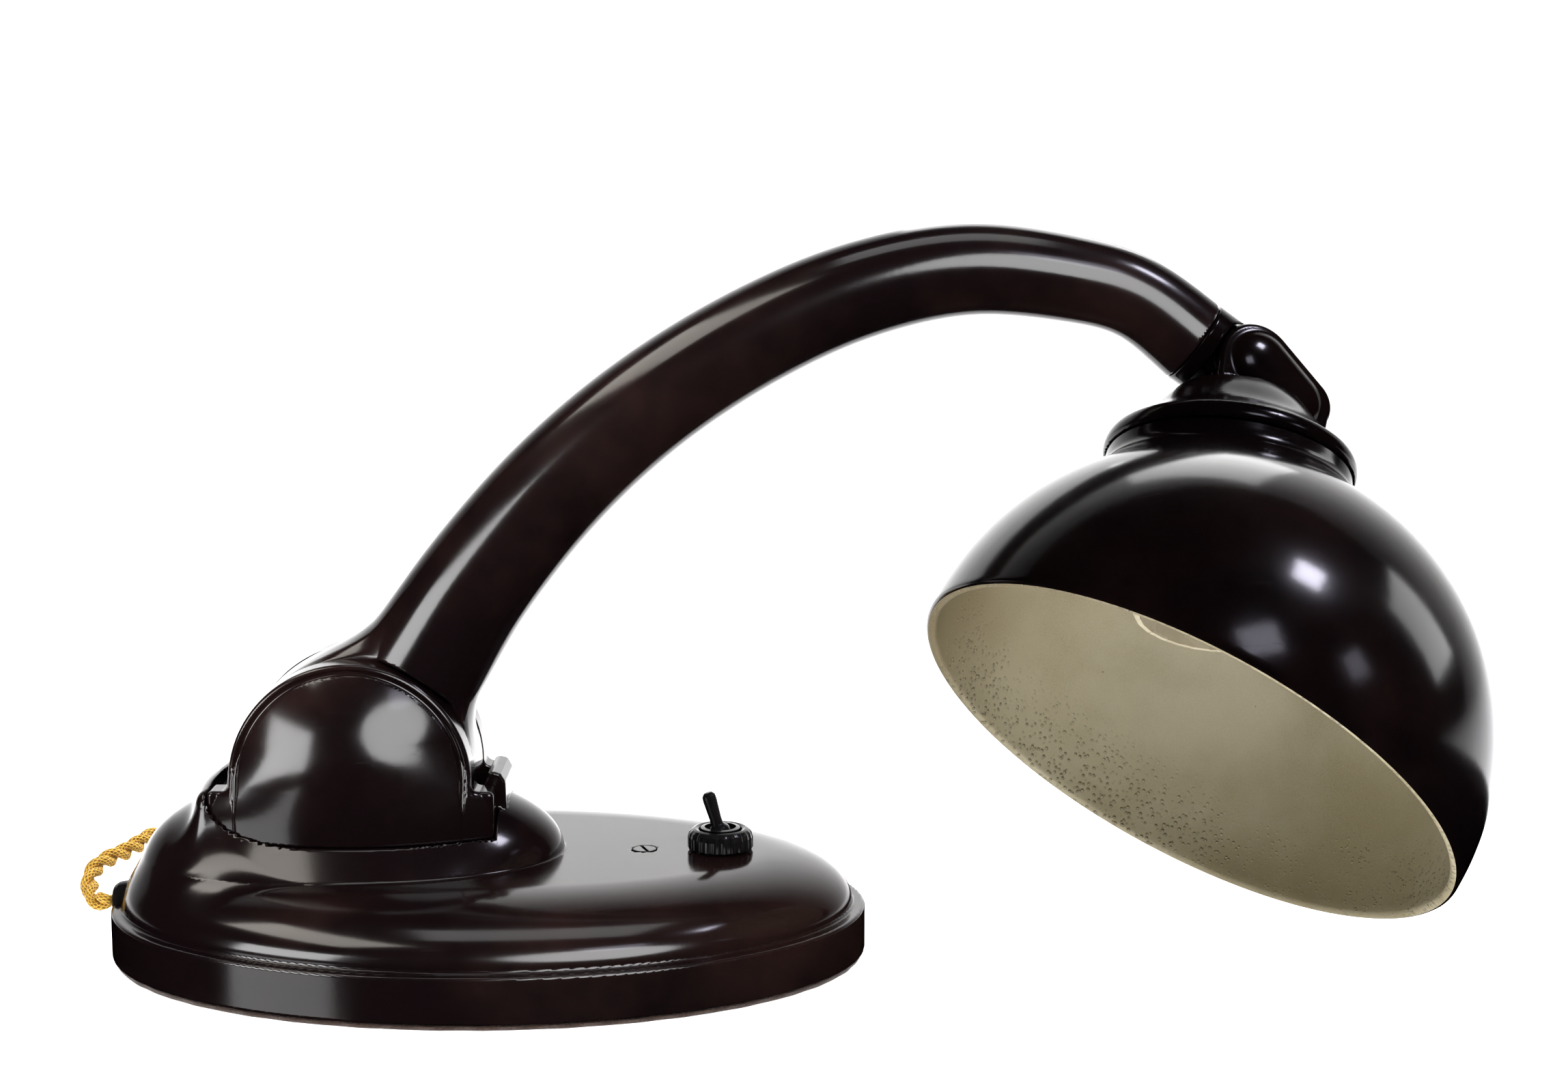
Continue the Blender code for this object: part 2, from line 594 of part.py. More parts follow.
# -------------------------------------------------------------------------- head
def build_knuckle(mats, frame):
    """Swivelling knuckle in the arm's tip.  Its frame has X along the tip, out of the
    arm, and Y along the hinge; its origin is on both axes."""
    knuckle = turned("swivel_knuckle",
                     [(0.0, -0.0285), (0.0072, -0.0285), (0.0076, -0.0280), (0.0076, -0.0165),
                      (COLLAR_R - 0.0004, -0.0165), (COLLAR_R, -0.0160), (COLLAR_R, -0.0145),
                      (COLLAR_R - 0.0012, -0.0135), (0.0, -0.0135)],
                     mats["bakelite"], frame, axis="X", segments=24)
    tongue = [(-0.0150, -0.0085), (0.0, -TONGUE_R)]
    tongue += [(TONGUE_R * sin(a), -TONGUE_R * cos(a)) for a in (pi * k / 9 for k in range(1, 9))]
    tongue += [(0.0, TONGUE_R), (-0.0150, 0.0085)]
    join(knuckle, prism("add_tongue", tongue, -TONGUE_HALF, TONGUE_HALF, mats["bakelite"], frame,
                        axis="Y"))
    cut(knuckle,
        rod("cut_tongue_bolt", 0.0023, -0.02, 0.02, mats["bakelite"], frame, axis="Y", segments=16),
        rod("cut_knuckle_bore", 0.0032, -0.03, -0.0050, mats["bakelite"], frame, axis="X",
            segments=12),
        rod("cut_knuckle_exit", 0.0026, 0.0, 0.02, mats["bakelite"], frame, at=(-0.0066, 0, 0),
            segments=12))
    return knuckle


def hood_outline():
    """Side view of the hood: round over the hinge, with a sloping back and a soft corner."""
    slope = radians(36.0)
    arc = [pi - (pi / 2 + slope) * k / 12 for k in range(13)]
    points = [(HOOD_R * cos(a), HOOD_R * sin(a)) for a in arc]
    centre = Vector((0.0186, -0.0062))
    corner = [pi / 2 - slope - radians(70.0) * k / 6 for k in range(7)]
    points += [(centre.x + 0.0056 * cos(a), centre.y + 0.0056 * sin(a)) for a in corner]
    return points + [(0.0232, -0.0200), (-HOOD_R, -0.0200)]


def build_head(mats, frame):
    """Cap with its hood, in the head's frame: X to the side, Y along the hinge, Z up the
    neck; its origin is on the hinge axis."""
    top = -HINGE_HEIGHT
    cap = turned("head_cap",
                 [(0.0, -0.0068), (0.0120, -0.0070), (0.0178, -0.0090), (0.0220, -0.0133),
                  (0.0273, -0.0196), (0.0325, -0.0243), (0.0333, -0.0247), (0.0345, -0.0252),
                  (0.0354, -0.0268), (0.0355, -0.0290), (0.0351, top + GAP / 2),
                  (0.0300, top + GAP / 2), (0.0300, top + 0.0035), (0.0200, top + 0.0040),
                  (0.0120, top + 0.0085), (0.0, top + 0.0085)],
                 mats["bakelite"], frame, segments=32)
    join(cap, prism("add_hood", hood_outline(), -HOOD_HALF, HOOD_HALF, mats["bakelite"], frame,
                    axis="Y"))
    open_from, open_to = radians(50.0), radians(216.0)
    count = 14
    closed = [open_to + (2 * pi + open_from - open_to) * k / count for k in range(count + 1)]
    slot = [(SLOT_R * cos(a), SLOT_R * sin(a)) for a in closed]
    slot += [(0.05 * cos(open_from), 0.05 * sin(open_from)), (-0.02, 0.06), (-0.06, 0.02),
             (0.05 * cos(open_to), 0.05 * sin(open_to))]
    cut(cap, prism("cut_hood_slot", slot, -SLOT_HALF, SLOT_HALF, mats["bakelite"], frame, axis="Y"))
    cut(cap,
        turned("cut_cap_bolt", [(0.0, -0.0200), (0.0045, -0.0200), (0.0045, -0.0095),
                                (0.0023, -0.0095), (0.0023, 0.0050), (0.0044, 0.0050),
                                (0.0044, 0.0094), (0.0, 0.0094)],
               mats["bakelite"], frame, axis="Y", segments=18),
        rod("cut_cap_wire", 0.0054, -0.0400, -0.0060, mats["bakelite"], frame, segments=16))
    turned("head_bolt", [(0.0, -0.0114), (0.0036, -0.0114), (0.0041, -0.0110), (0.0041, -0.0098),
                         (0.0020, -0.0098), (0.0020, 0.0092), (0.0, 0.0092)],
           mats["steel"], frame, axis="Y", segments=20)
    turned("head_nut", [(0.0027, 0.0069), (0.0041, 0.0069), (0.0041, 0.0089), (0.0027, 0.0089)],
           mats["steel"], frame, axis="Y", segments=6, tube=True)
    for side, word in ((-1, "near"), (1, "far")):
        low, high = side * 0.0057, side * 0.0064
        turned(f"head_washer_{word}", [(0.0023, low), (0.0085, low), (0.0085, high), (0.0023, high)],
               mats["steel"], frame, axis="Y", segments=16, tube=True)


def build_lampholder(mats, frame):
    """Threaded nipple and lampholder, held under the cap.  Same frame as the cap's."""
    seam = -HINGE_HEIGHT
    turned("holder_nipple", [(0.0036, seam - 0.0100), (0.0050, seam - 0.0100),
                             (0.0050, seam + 0.0165), (0.0036, seam + 0.0165)],
           mats["brass"], frame, segments=20, tube=True)
    turned("lampholder", [(0.0053, seam - 0.0035), (0.0185, seam - 0.0035),
                          (0.0190, seam - 0.0040), (0.0190, seam - 0.0060),
                          (0.0172, seam - 0.0075), (0.0172, seam - 0.0380),
                          (0.0160, seam - 0.0390), (0.0140, seam - 0.0390),
                          (0.0140, seam - 0.0150), (0.0053, seam - 0.0150)],
           mats["ceramic"], frame, segments=24, tube=True)
    turned("holder_contact", [(0.0, seam - 0.0200), (0.0060, seam - 0.0200), (0.0065, seam - 0.0190),
                              (0.0065, seam - 0.0153), (0.0, seam - 0.0153)],
           mats["brass"], frame, segments=16)
    turned("holder_skirt", [(0.0175, seam - 0.0180), (0.0205, seam - 0.0180),
                            (0.0212, seam - 0.0190), (0.0212, seam - 0.0450),
                            (0.0204, seam - 0.0462), (0.0190, seam - 0.0462),
                            (0.0188, seam - 0.0400), (0.0175, seam - 0.0380)],
           mats["ceramic"], frame, segments=24, tube=True)


def shade_rings(radius, neck, top, segments=36):
    """Rings of one skin of the shade from the neck down to the mouth, in the shade's
    frame: Z up the neck from the seam, and the mouth leaning towards +X."""
    centre = Vector((0.0, 0.0, -SHADE_DROP))
    start = acos(neck * 1.12 / radius)
    rings = [circle(neck, top, segments), circle(neck, top - 0.0035, segments)]
    steps = 9
    for k in range(steps + 1):
        t = k / steps
        lean = MOUTH_LEAN * t ** 1.5
        normal = Vector((sin(lean), 0.0, cos(lean)))
        low = -MOUTH_DROP / radius
        angle = start + (low - start) * t
        offset = radius * sin(angle)
        size = radius * cos(angle)
        across = Vector((cos(lean), 0.0, -sin(lean)))
        side = normal.cross(across)
        rings.append([centre + normal * offset + across * size * cos(2 * pi * i / segments)
                      + side * size * sin(2 * pi * i / segments) for i in range(segments)])
    return rings


def build_shade(mats, frame):
    """The domed shade, painted inside, with a hole for the lampholder at its top."""
    outer = shade_rings(SHADE_R, NECK_R, -0.0010)
    inner = shade_rings(SHADE_R - SHADE_WALL, NECK_R - 0.0035, -0.0050)
    lid = [circle(0.0056, -0.0032, 36), circle(0.0056, -GAP / 2, 36),
           circle(NECK_R - 0.0006, -GAP / 2, 36)]
    under = [circle(NECK_R - 0.0045, -0.0032, 36)]
    rings = lid + outer + inner[::-1] + under
    add_object("shade", loft(rings, cyclic=True), mats["bakelite"], frame)


# -------------------------------------------------------------------------- flex
def coil_top():
    return COIL_HIGH * 2 * FLEX_R


def build_flex(mats):
    """Mains flex on the table, its coil behind the base, and the plug on the coil."""
    side = COIL_TURN_R + COIL_WIDE * FLEX_R
    wire("flex_run", spline(FLEX_ROUTE, 3), FLEX_R, mats["flex"], resolution=2)
    inner = COIL_TURN_R - COIL_WIDE * FLEX_R
    top = coil_top()
    turned("flex_coil", [(inner, 0.0), (side, 0.0), (side, top), (inner, top)], mats["flex"],
           at=COIL_CENTRE, segments=32, tube=True)


def build_plug(mats):
    """Round two-pin plug, lying on the coil.  Its frame has X along the pins."""
    at = Vector((*PLUG_SPOT, coil_top() + PLUG_R + GAP))
    frame = add_empty("plug_frame", Matrix.Translation(at))
    turned("plug_body", [(0.0, -0.0200), (0.0048, -0.0200), (0.0060, -0.0120), (0.0115, -0.0050),
                         (PLUG_R, 0.0030), (PLUG_R, 0.0157), (PLUG_R - 0.0008, 0.0165),
                         (0.0, 0.0165)], mats["black"], frame, axis="X", segments=28)
    for k, y in enumerate((-0.0083, 0.0083)):
        rod(f"plug_pin_{k + 1}", 0.0025, 0.0168, 0.0345, mats["brass"], frame, at=(0, y, 0),
            axis="X", segments=12)


# -------------------------------------------------------------------------- lamp
def make_materials():
    return {
        "bakelite": make_material("dark_bakelite", (0.022, 0.011, 0.010), 0.16),
        "black": make_material("black_bakelite", (0.010, 0.009, 0.009), 0.22),
        "steel": make_material("zinced_steel", (0.55, 0.55, 0.56), 0.40, 1.0),
        "iron": make_material("cast_iron", (0.10, 0.10, 0.105), 0.75, 0.6),
        "brass": make_material("brass", (0.72, 0.52, 0.24), 0.32, 1.0),
        "felt": make_material("brown_felt", (0.12, 0.06, 0.03), 0.95),
        "ceramic": make_material("lampholder_porcelain", (0.78, 0.75, 0.68), 0.30),
        "rubber": make_material("rubber_lead", (0.03, 0.03, 0.03), 0.60),
        "flex": make_material("gold_braid", (0.62, 0.42, 0.08), 0.75),
    }


def build_lamp():
    clear_scene()
    mats = make_materials()
    build_base_casing(mats)
    build_hinge_hardware(mats)
    lever_matrix = Matrix.Translation((SWITCH_X, 0, 0.0352)) @ Matrix.Rotation(radians(-16), 4, "Y")
    build_switch(mats, add_empty("lever_pivot", lever_matrix))
    build_cord_entry(mats)
    build_arm(mats, add_empty("arm_pivot", Matrix.Translation((DRUM_X, 0, DRUM_Z))))
    build_knuckle(mats, add_empty("swivel_frame", frame_matrix(HEAD_PIVOT, TIP_DIR, TIP_UP)))
    head = add_empty("head_frame", frame_matrix(HEAD_PIVOT, HEAD_SIDE, NECK_DIR))
    build_head(mats, head)
    build_lampholder(mats, head)
    lean_side = Quaternion(NECK_DIR, -SHADE_TURN) @ HEAD_SIDE
    build_shade(mats, add_empty("shade_frame", frame_matrix(SEAM, lean_side, NECK_DIR)))
    build_flex(mats)
    build_plug(mats)


build_lamp()
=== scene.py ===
"""Looks of the adjustable moulded-plastic desk lamp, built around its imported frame.

Metres, in the frame's own coordinates.  The moulded pieces are meshed from signed
distance fields, so that their fillets and rolled edges are smooth; the shade, the
turned pieces and the flex are lofted.
"""
import json
from math import acos, asin, cos, pi, radians, sin, sqrt, tan

import bpy
import numpy as np
from mathutils import Matrix, Quaternion, Vector
from numpy import hypot, interp, maximum, minimum, where


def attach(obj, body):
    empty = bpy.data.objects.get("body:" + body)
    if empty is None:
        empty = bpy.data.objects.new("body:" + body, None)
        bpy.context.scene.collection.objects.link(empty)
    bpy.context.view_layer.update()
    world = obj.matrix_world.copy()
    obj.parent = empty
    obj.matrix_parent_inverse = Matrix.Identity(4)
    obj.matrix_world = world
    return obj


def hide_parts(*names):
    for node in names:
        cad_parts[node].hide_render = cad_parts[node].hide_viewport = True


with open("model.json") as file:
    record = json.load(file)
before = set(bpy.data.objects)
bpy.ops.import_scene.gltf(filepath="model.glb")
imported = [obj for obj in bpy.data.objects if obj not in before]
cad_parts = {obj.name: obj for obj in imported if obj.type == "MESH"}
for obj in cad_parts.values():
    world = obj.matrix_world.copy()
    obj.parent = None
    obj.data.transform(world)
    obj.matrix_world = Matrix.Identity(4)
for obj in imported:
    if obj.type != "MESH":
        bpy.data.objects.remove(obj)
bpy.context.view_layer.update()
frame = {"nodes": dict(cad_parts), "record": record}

# ---- dimensions of the frame
GAP = 0.0003
BASE_A, BASE_B = 0.110, 0.073
FELT_THICK = 0.0015
RIM_TOP = 0.0152
LEDGE = 0.0037
TOP_Z = 0.0310
CROWN_WIDTH = 0.030
WALL = 0.0032
HUMP_X = -0.038
HUMP_A, HUMP_B, HUMP_H = 0.0600, 0.0385, 0.0242
HUMP_ROOF = 0.0355              # the hollow inside stops here

DRUM = Vector((-0.0372, 0.0, 0.0551))
DRUM_R = 0.0348
HUB_HALF = 0.0108
HUB_R = 0.0346
FOOT_R = 0.0356                 # the arm's full round starts here, outside the drum
CHEEK_IN, CHEEK_OUT = 0.0112, 0.0205
CHEEK_BULGE = 0.0105
CHEEK_HALF = 0.0409
CHEEK_FOOT, CHEEK_SHOULDER = 0.0395, 0.0530
BACK_LIP_DROP = 0.0070
PIVOT_R = 0.0030
WASHER_SEAT = (0.0124, 0.0124)  # radius, and how far out of the cheek's middle plane
BOLT_RECESS = (0.0069, 0.0176)

SWITCH_X = 0.0677
LEVER_PIVOT = Vector((SWITCH_X, 0.0, 0.0352))
LEVER_LEAN = radians(-16.0)
SCREW_X = 0.0455
BUSH_Z = 0.0155

# meshing of the distance fields, on a grid
BLOCK = 6                       # cells along the side of a block of the grid
HALF_DIAGONAL = 0.87            # of a block, in sides
FIELD_SLACK = 1.35              # how much faster than distance a field may grow
BLOCKS_AT_ONCE = 1500
GRADIENT_STEP = 0.15            # in cells, like the longest move
LONGEST_MOVE = 0.6              # of a vertex towards the surface, in one round
SETTLING_ROUNDS = 3

# arm: centre line (x, z) and radius, from the hub to the tip
ARM_LINE = [
    (-0.0372, 0.0551, 0.0190), (-0.0172, 0.0873, 0.0183), (-0.0022, 0.1106, 0.0171),
    (0.0202, 0.1375, 0.0161), (0.0458, 0.1605, 0.0152), (0.0754, 0.1798, 0.0145),
    (0.1070, 0.1940, 0.0139), (0.1394, 0.2004, 0.0132), (0.1721, 0.1967, 0.0123),
    (0.1880, 0.1911, 0.0118), (0.2024, 0.1799, 0.0124),
]
ARM_MIDDLE = (0.1200, 0.0600)   # a point that the arm bends round
ARM_FLATNESS = 0.97             # the tube's width over its height
ARM_KNOTS = 400
ARM_SMOOTHING = 31              # knots under the window that evens the line out
BACK_DIR = (-0.85, 0.53)        # from the drum's axis to the arm's back and to its
UNDER_DIR = (0.96, 0.28)        # underside, in x and z; the fillet is wider there

HEAD_PIVOT = Vector((0.2160, 0.0, 0.1700))
TIP_SLOPE = radians(36.0)
HEAD_TWIST = radians(-33.7)
NECK_ANGLE = radians(69.2)
TONGUE_HALF, TONGUE_R = 0.0054, 0.0098
SLOT_HALF, SLOT_R = 0.0067, 0.0112
SLOT_OPEN = (50.0, 216.0)       # degrees round the hinge
HOOD_HALF, HOOD_R = 0.0115, 0.0118
HINGE_HEIGHT = 0.0305
COLLAR_R = 0.0124
SADDLE_R = 0.0123               # the knuckle's collar is hollowed to clear the hood
ARM_END = 0.0168                # from the arm's end face to the hinge

SHADE_R = 0.0791
SHADE_DROP = 0.0788
SHADE_WALL = 0.0030
MOUTH_LEAN = radians(19.8)
MOUTH_DIR = Vector((-sin(MOUTH_LEAN), 0.0, -cos(MOUTH_LEAN)))
MOUTH_DROP = 0.0061
SHADE_TURN = radians(16.2)
NECK_R = 0.0345

FLEX_R = 0.0028
COIL_CENTRE = Vector((-0.0565, 0.1130, 0.0))
COIL_TURN_R = 0.0315
COIL_WIDE, COIL_HIGH = 2, 4     # turns side by side, and layers
PLUG_R = 0.0140
PLUG_SPOT = (-0.0600, 0.1385)
FLEX_ROUTE = [
    (-0.1111, 0.0000, 0.0153), (-0.1133, 0.0002, 0.0150), (-0.1161, 0.0024, 0.0142),
    (-0.1190, 0.0066, 0.0150), (-0.1208, 0.0120, 0.0173), (-0.1207, 0.0184, 0.0195),
    (-0.1186, 0.0254, 0.0205),
    (-0.1155, 0.0330, 0.0206), (-0.1125, 0.0420, 0.0211), (-0.1102, 0.0510, 0.0210),
    (-0.1086, 0.0600, 0.0172), (-0.1076, 0.0690, 0.0112), (-0.1066, 0.0790, 0.0060),
    (-0.1045, 0.0885, 0.0034), (-0.1008, 0.0975, FLEX_R), (-0.0968, 0.1070, FLEX_R),
]

# ---- frames of the head
TIP_DIR = Vector((cos(TIP_SLOPE), 0.0, -sin(TIP_SLOPE)))
TIP_ACROSS = Vector((sin(TIP_SLOPE), 0.0, cos(TIP_SLOPE)))
HINGE_AXIS = Quaternion(TIP_DIR, HEAD_TWIST) @ Vector((0.0, 1.0, 0.0))
TIP_UP = TIP_DIR.cross(HINGE_AXIS)
NECK_DIR = TIP_UP * sin(NECK_ANGLE) - TIP_DIR * cos(NECK_ANGLE)
HEAD_SIDE = HINGE_AXIS.cross(NECK_DIR)
SEAM = HEAD_PIVOT - NECK_DIR * HINGE_HEIGHT


def frame_matrix(origin, x_axis, z_axis):
    x = Vector(x_axis).normalized()
    z = Vector(z_axis).normalized()
    rot = Matrix((x, z.cross(x), z)).transposed()
    return Matrix.Translation(origin) @ rot.to_4x4()


WORLD = Matrix.Identity(4)
KNUCKLE_FRAME = frame_matrix(HEAD_PIVOT, TIP_DIR, TIP_UP)
HEAD_FRAME = frame_matrix(HEAD_PIVOT, HEAD_SIDE, NECK_DIR)
SHADE_FRAME = frame_matrix(SEAM, Quaternion(NECK_DIR, -SHADE_TURN) @ HEAD_SIDE, NECK_DIR)


# ---- camera
def add_camera():
    data = bpy.data.cameras.new("camera")
    data.lens = 63.9
    data.sensor_width = 36.0
    data.sensor_fit = "HORIZONTAL"
    camera = bpy.data.objects.new("camera", data)
    spot = Vector((0.0917, -0.7897, 0.2489))
    aim = Vector((0.0863, 0.0, 0.1211))
    camera.location = spot
    camera.rotation_euler = (aim - spot).to_track_quat("-Z", "Y").to_euler()
    bpy.context.scene.collection.objects.link(camera)
    bpy.context.scene.camera = camera


# ---- mesh helpers
SLIGHT_TURN = radians(12.0)     # corners that turn less aren't rounded


def add_mesh(name, verts, faces, materials, matrix=WORLD, normals=None, face_slots=None,
             sharp=None):
    """An object from points in the matrix's frame, with smooth faces."""
    mesh = bpy.data.meshes.new(name)
    mesh.from_pydata([tuple(v) for v in np.asarray(verts, float)], [],
                     [tuple(int(i) for i in f) for f in faces])
    mesh.transform(matrix)
    for mat in materials:
        mesh.materials.append(mat)
    if face_slots is not None:
        mesh.polygons.foreach_set("material_index", np.asarray(face_slots, np.int32))
    mesh.shade_smooth()
    if sharp is not None:
        mesh.set_sharp_from_angle(angle=radians(sharp))
    if normals is not None:
        turn = np.array(matrix.to_3x3())
        mesh.normals_split_custom_set_from_vertices((normals @ turn.T).tolist())
    mesh.update()
    obj = bpy.data.objects.new(name, mesh)
    bpy.context.scene.collection.objects.link(obj)
    return obj


def turn_angles(segments):
    return [2 * pi * i / segments for i in range(segments)]


def circle(radius, height, segments):
    return [(radius * cos(a), radius * sin(a), height) for a in turn_angles(segments)]


def skin_rings(rings, closed_rows=False):
    """Faces between rings of equal length.  A ring of one point is a pole."""
    verts, starts = [], []
    for ring in rings:
        starts.append(len(verts))
        verts.extend(ring)
    faces = []
    pairs = [(k, k + 1) for k in range(len(rings) - 1)]
    if closed_rows:
        pairs.append((len(rings) - 1, 0))
    for a, b in pairs:
        low, high = starts[a], starts[b]
        count = max(len(rings[a]), len(rings[b]))
        for i in range(count):
            j = (i + 1) % count
            if len(rings[a]) == 1:
                faces.append((low, high + j, high + i))
            elif len(rings[b]) == 1:
                faces.append((low + i, low + j, high))
            else:
                faces.append((low + i, low + j, high + j, high + i))
    return verts, faces


def soften(points, radius, steps=4, closed=False):
    """Rounds the corners of an outline with curves of about a radius, where they fit."""
    pts = [Vector(p) for p in points]
    last = len(pts) - 1
    result = []
    for i, corner in enumerate(pts):
        if not closed and i in (0, last):
            result.append(corner)
            continue
        before, after = pts[i - 1] - corner, pts[(i + 1) % len(pts)] - corner
        turn = pi - before.angle(after)
        if turn < SLIGHT_TURN:
            result.append(corner)
            continue
        longest = 0.45 * min(before.length, after.length)
        reach = min(radius * tan(turn / 2), longest)
        start = corner + before.normalized() * reach
        end = corner + after.normalized() * reach
        for k in range(steps + 1):
            t = k / steps
            result.append(start * (1 - t) ** 2 + corner * 2 * t * (1 - t) + end * t ** 2)
    return result


AXIS_TURN = {"X": Matrix.Rotation(pi / 2, 4, "Y"), "Z": WORLD}


def lathe(name, profile, material, matrix, axis="Z", segments=72, tube=False,
          radius=0.0004, wobble=None):
    """A turned piece from (radius, height) points, with its corners softened."""
    outline = soften(profile, radius, closed=tube)
    rings = []
    for r, z in outline:
        if r < 1e-6:
            rings.append([(0.0, 0.0, z)])
            continue
        ring = []
        for a in turn_angles(segments):
            size = r if wobble is None else r * wobble(a, r, z)
            ring.append((size * cos(a), size * sin(a), z))
        rings.append(ring)
    verts, faces = skin_rings(rings, closed_rows=tube)
    return add_mesh(name, verts, faces, [material], matrix @ AXIS_TURN[axis], sharp=50.0)


def catmull(points, steps):
    """A smooth curve through the points, with steps spans for each pair."""
    pts = [np.asarray(p, float) for p in points]
    pts = [2 * pts[0] - pts[1]] + pts + [2 * pts[-1] - pts[-2]]
    curve = []
    for a, b, c, d in zip(pts, pts[1:], pts[2:], pts[3:]):
        for k in range(steps):
            t = k / steps
            curve.append(0.5 * (2 * b + (c - a) * t + (2 * a - 5 * b + 4 * c - d) * t ** 2
                                + (3 * b - a - 3 * c + d) * t ** 3))
    curve.append(pts[-2])
    return np.array(curve)


def travelled(points):
    """How far along a line each of its points is."""
    gaps = np.linalg.norm(np.diff(points, axis=0), axis=1)
    return np.concatenate([[0.0], np.cumsum(gaps)])


# ---- distance-field helpers
def smooth_min(a, b, k):
    h = np.clip(0.5 + 0.5 * (b - a) / k, 0.0, 1.0)
    return b + (a - b) * h - k * h * (1.0 - h)


def smooth_max(a, b, k):
    return -smooth_min(-a, -b, k)


def round_both(a, b, radius):
    """Intersection of two fields with a round edge."""
    u, v = a + radius, b + radius
    corner = hypot(maximum(u, 0.0), maximum(v, 0.0))
    return minimum(maximum(u, v), 0.0) + corner - radius


def ease(value, low, high):
    t = np.clip((value - low) / (high - low), 0.0, 1.0)
    return t * t * (3.0 - 2.0 * t)


def outline_distance(u, v, outline):
    """Signed distance to a closed outline, negative inside."""
    best = np.full(u.shape, 1e9)
    inside = np.zeros(u.shape, bool)
    for (au, av), (bu, bv) in zip(outline, outline[1:] + outline[:1]):
        eu, ev = bu - au, bv - av
        wu, wv = u - au, v - av
        t = np.clip((wu * eu + wv * ev) / (eu * eu + ev * ev), 0.0, 1.0)
        best = minimum(best, (wu - t * eu) ** 2 + (wv - t * ev) ** 2)
        if ev != 0.0:
            inside ^= ((av > v) != (bv > v)) & (u < au + (v - av) * eu / ev)
    return where(inside, -1.0, 1.0) * np.sqrt(best)


CORNERS = [(i, j, k) for i in (0, 1) for j in (0, 1) for k in (0, 1)]


def sample_field(field, low, high, cell):
    """Values of the field on a grid; away from the surface only their sign is right."""
    low = np.asarray(low, float)
    count = np.ceil((np.asarray(high, float) - low) / cell / BLOCK).astype(int) * BLOCK
    blocks = count // BLOCK
    index = np.stack(np.meshgrid(*[np.arange(n) for n in blocks], indexing="ij"), -1)
    index = index.reshape(-1, 3)
    side = BLOCK * cell
    rough = field(low + (index + 0.5) * side)
    values = np.kron(rough.reshape(blocks), np.ones((BLOCK, BLOCK, BLOCK)))
    values = np.pad(values, (0, 1), mode="edge")
    near = index[np.abs(rough) < side * HALF_DIAGONAL * FIELD_SLACK + cell]
    step = np.stack(np.meshgrid(*[np.arange(BLOCK + 1)] * 3, indexing="ij"), -1).reshape(-1, 3)
    for part in np.array_split(near, max(1, len(near) // BLOCKS_AT_ONCE)):
        spots = (part[:, None, :] * BLOCK + step[None]).reshape(-1, 3)
        values[spots[:, 0], spots[:, 1], spots[:, 2]] = field(low + spots * cell)
    return values, low


def field_gradient(field, points, step):
    grad = np.empty_like(points)
    for axis in range(3):
        shift = np.zeros(3)
        shift[axis] = step
        grad[:, axis] = field(points + shift) - field(points - shift)
    return grad / (2.0 * step)


def field_mesh(name, field, low, high, cell, material, matrix=WORLD):
    """Meshes the zero surface of a field: one vertex for each cell that the surface
    crosses, moved onto the surface, and one face for each grid edge that it crosses."""
    values, origin = sample_field(field, low, high, cell)
    inside = values < 0.0
    shape = np.array(values.shape) - 1
    corner_inside = [inside[i:shape[0] + i, j:shape[1] + j, k:shape[2] + k]
                     for i, j, k in CORNERS]
    total = sum(c.astype(np.int8) for c in corner_inside)
    cells = np.argwhere((total > 0) & (total < 8))
    corner_values = {c: values[tuple((cells + c).T)] for c in CORNERS}
    summed = np.zeros((len(cells), 3))
    crossings = np.zeros(len(cells))
    for start in CORNERS:
        for axis in range(3):
            if start[axis]:
                continue
            end = tuple(1 if a == axis else s for a, s in enumerate(start))
            a, b = corner_values[start], corner_values[end]
            hit = (a < 0.0) != (b < 0.0)
            t = where(hit, a / where(a == b, 1.0, a - b), 0.0)
            spot = np.array(start, float)[None] + t[:, None] * np.eye(3)[axis][None]
            summed += spot * hit[:, None]
            crossings += hit
    points = origin + (cells + summed / crossings[:, None]) * cell
    for _ in range(SETTLING_ROUNDS):
        grad = field_gradient(field, points, cell * GRADIENT_STEP)
        size = maximum((grad ** 2).sum(1), 0.05)
        move = field(points)[:, None] * grad / size[:, None]
        length = maximum(np.linalg.norm(move, axis=1), 1e-12)
        points -= move * minimum(1.0, LONGEST_MOVE * cell / length)[:, None]
    normals = field_gradient(field, points, cell * GRADIENT_STEP)
    normals /= maximum(np.linalg.norm(normals, axis=1), 1e-9)[:, None]

    number = np.full(tuple(shape), -1, np.int64)
    number[tuple(cells.T)] = np.arange(len(cells))
    faces = []
    for axis in range(3):
        u, v = (axis + 1) % 3, (axis + 2) % 3
        span = [slice(1, -1)] * 3
        span[axis] = slice(0, -1)
        ahead = list(span)
        ahead[axis] = slice(1, None)
        here, there = inside[tuple(span)], inside[tuple(ahead)]
        edges = np.argwhere(here != there) + np.array([0 if a == axis else 1 for a in range(3)])
        out = inside[tuple(edges.T)]
        du, dv = np.eye(3, dtype=int)[u], np.eye(3, dtype=int)[v]
        quad = np.stack([number[tuple((edges - du - dv).T)], number[tuple((edges - dv).T)],
                         number[tuple(edges.T)], number[tuple((edges - du).T)]], 1)
        quad[~out] = quad[~out][:, ::-1]
        faces.append(quad)
    faces = np.concatenate(faces)
    return add_mesh(name, points, faces, [material], matrix, normals)


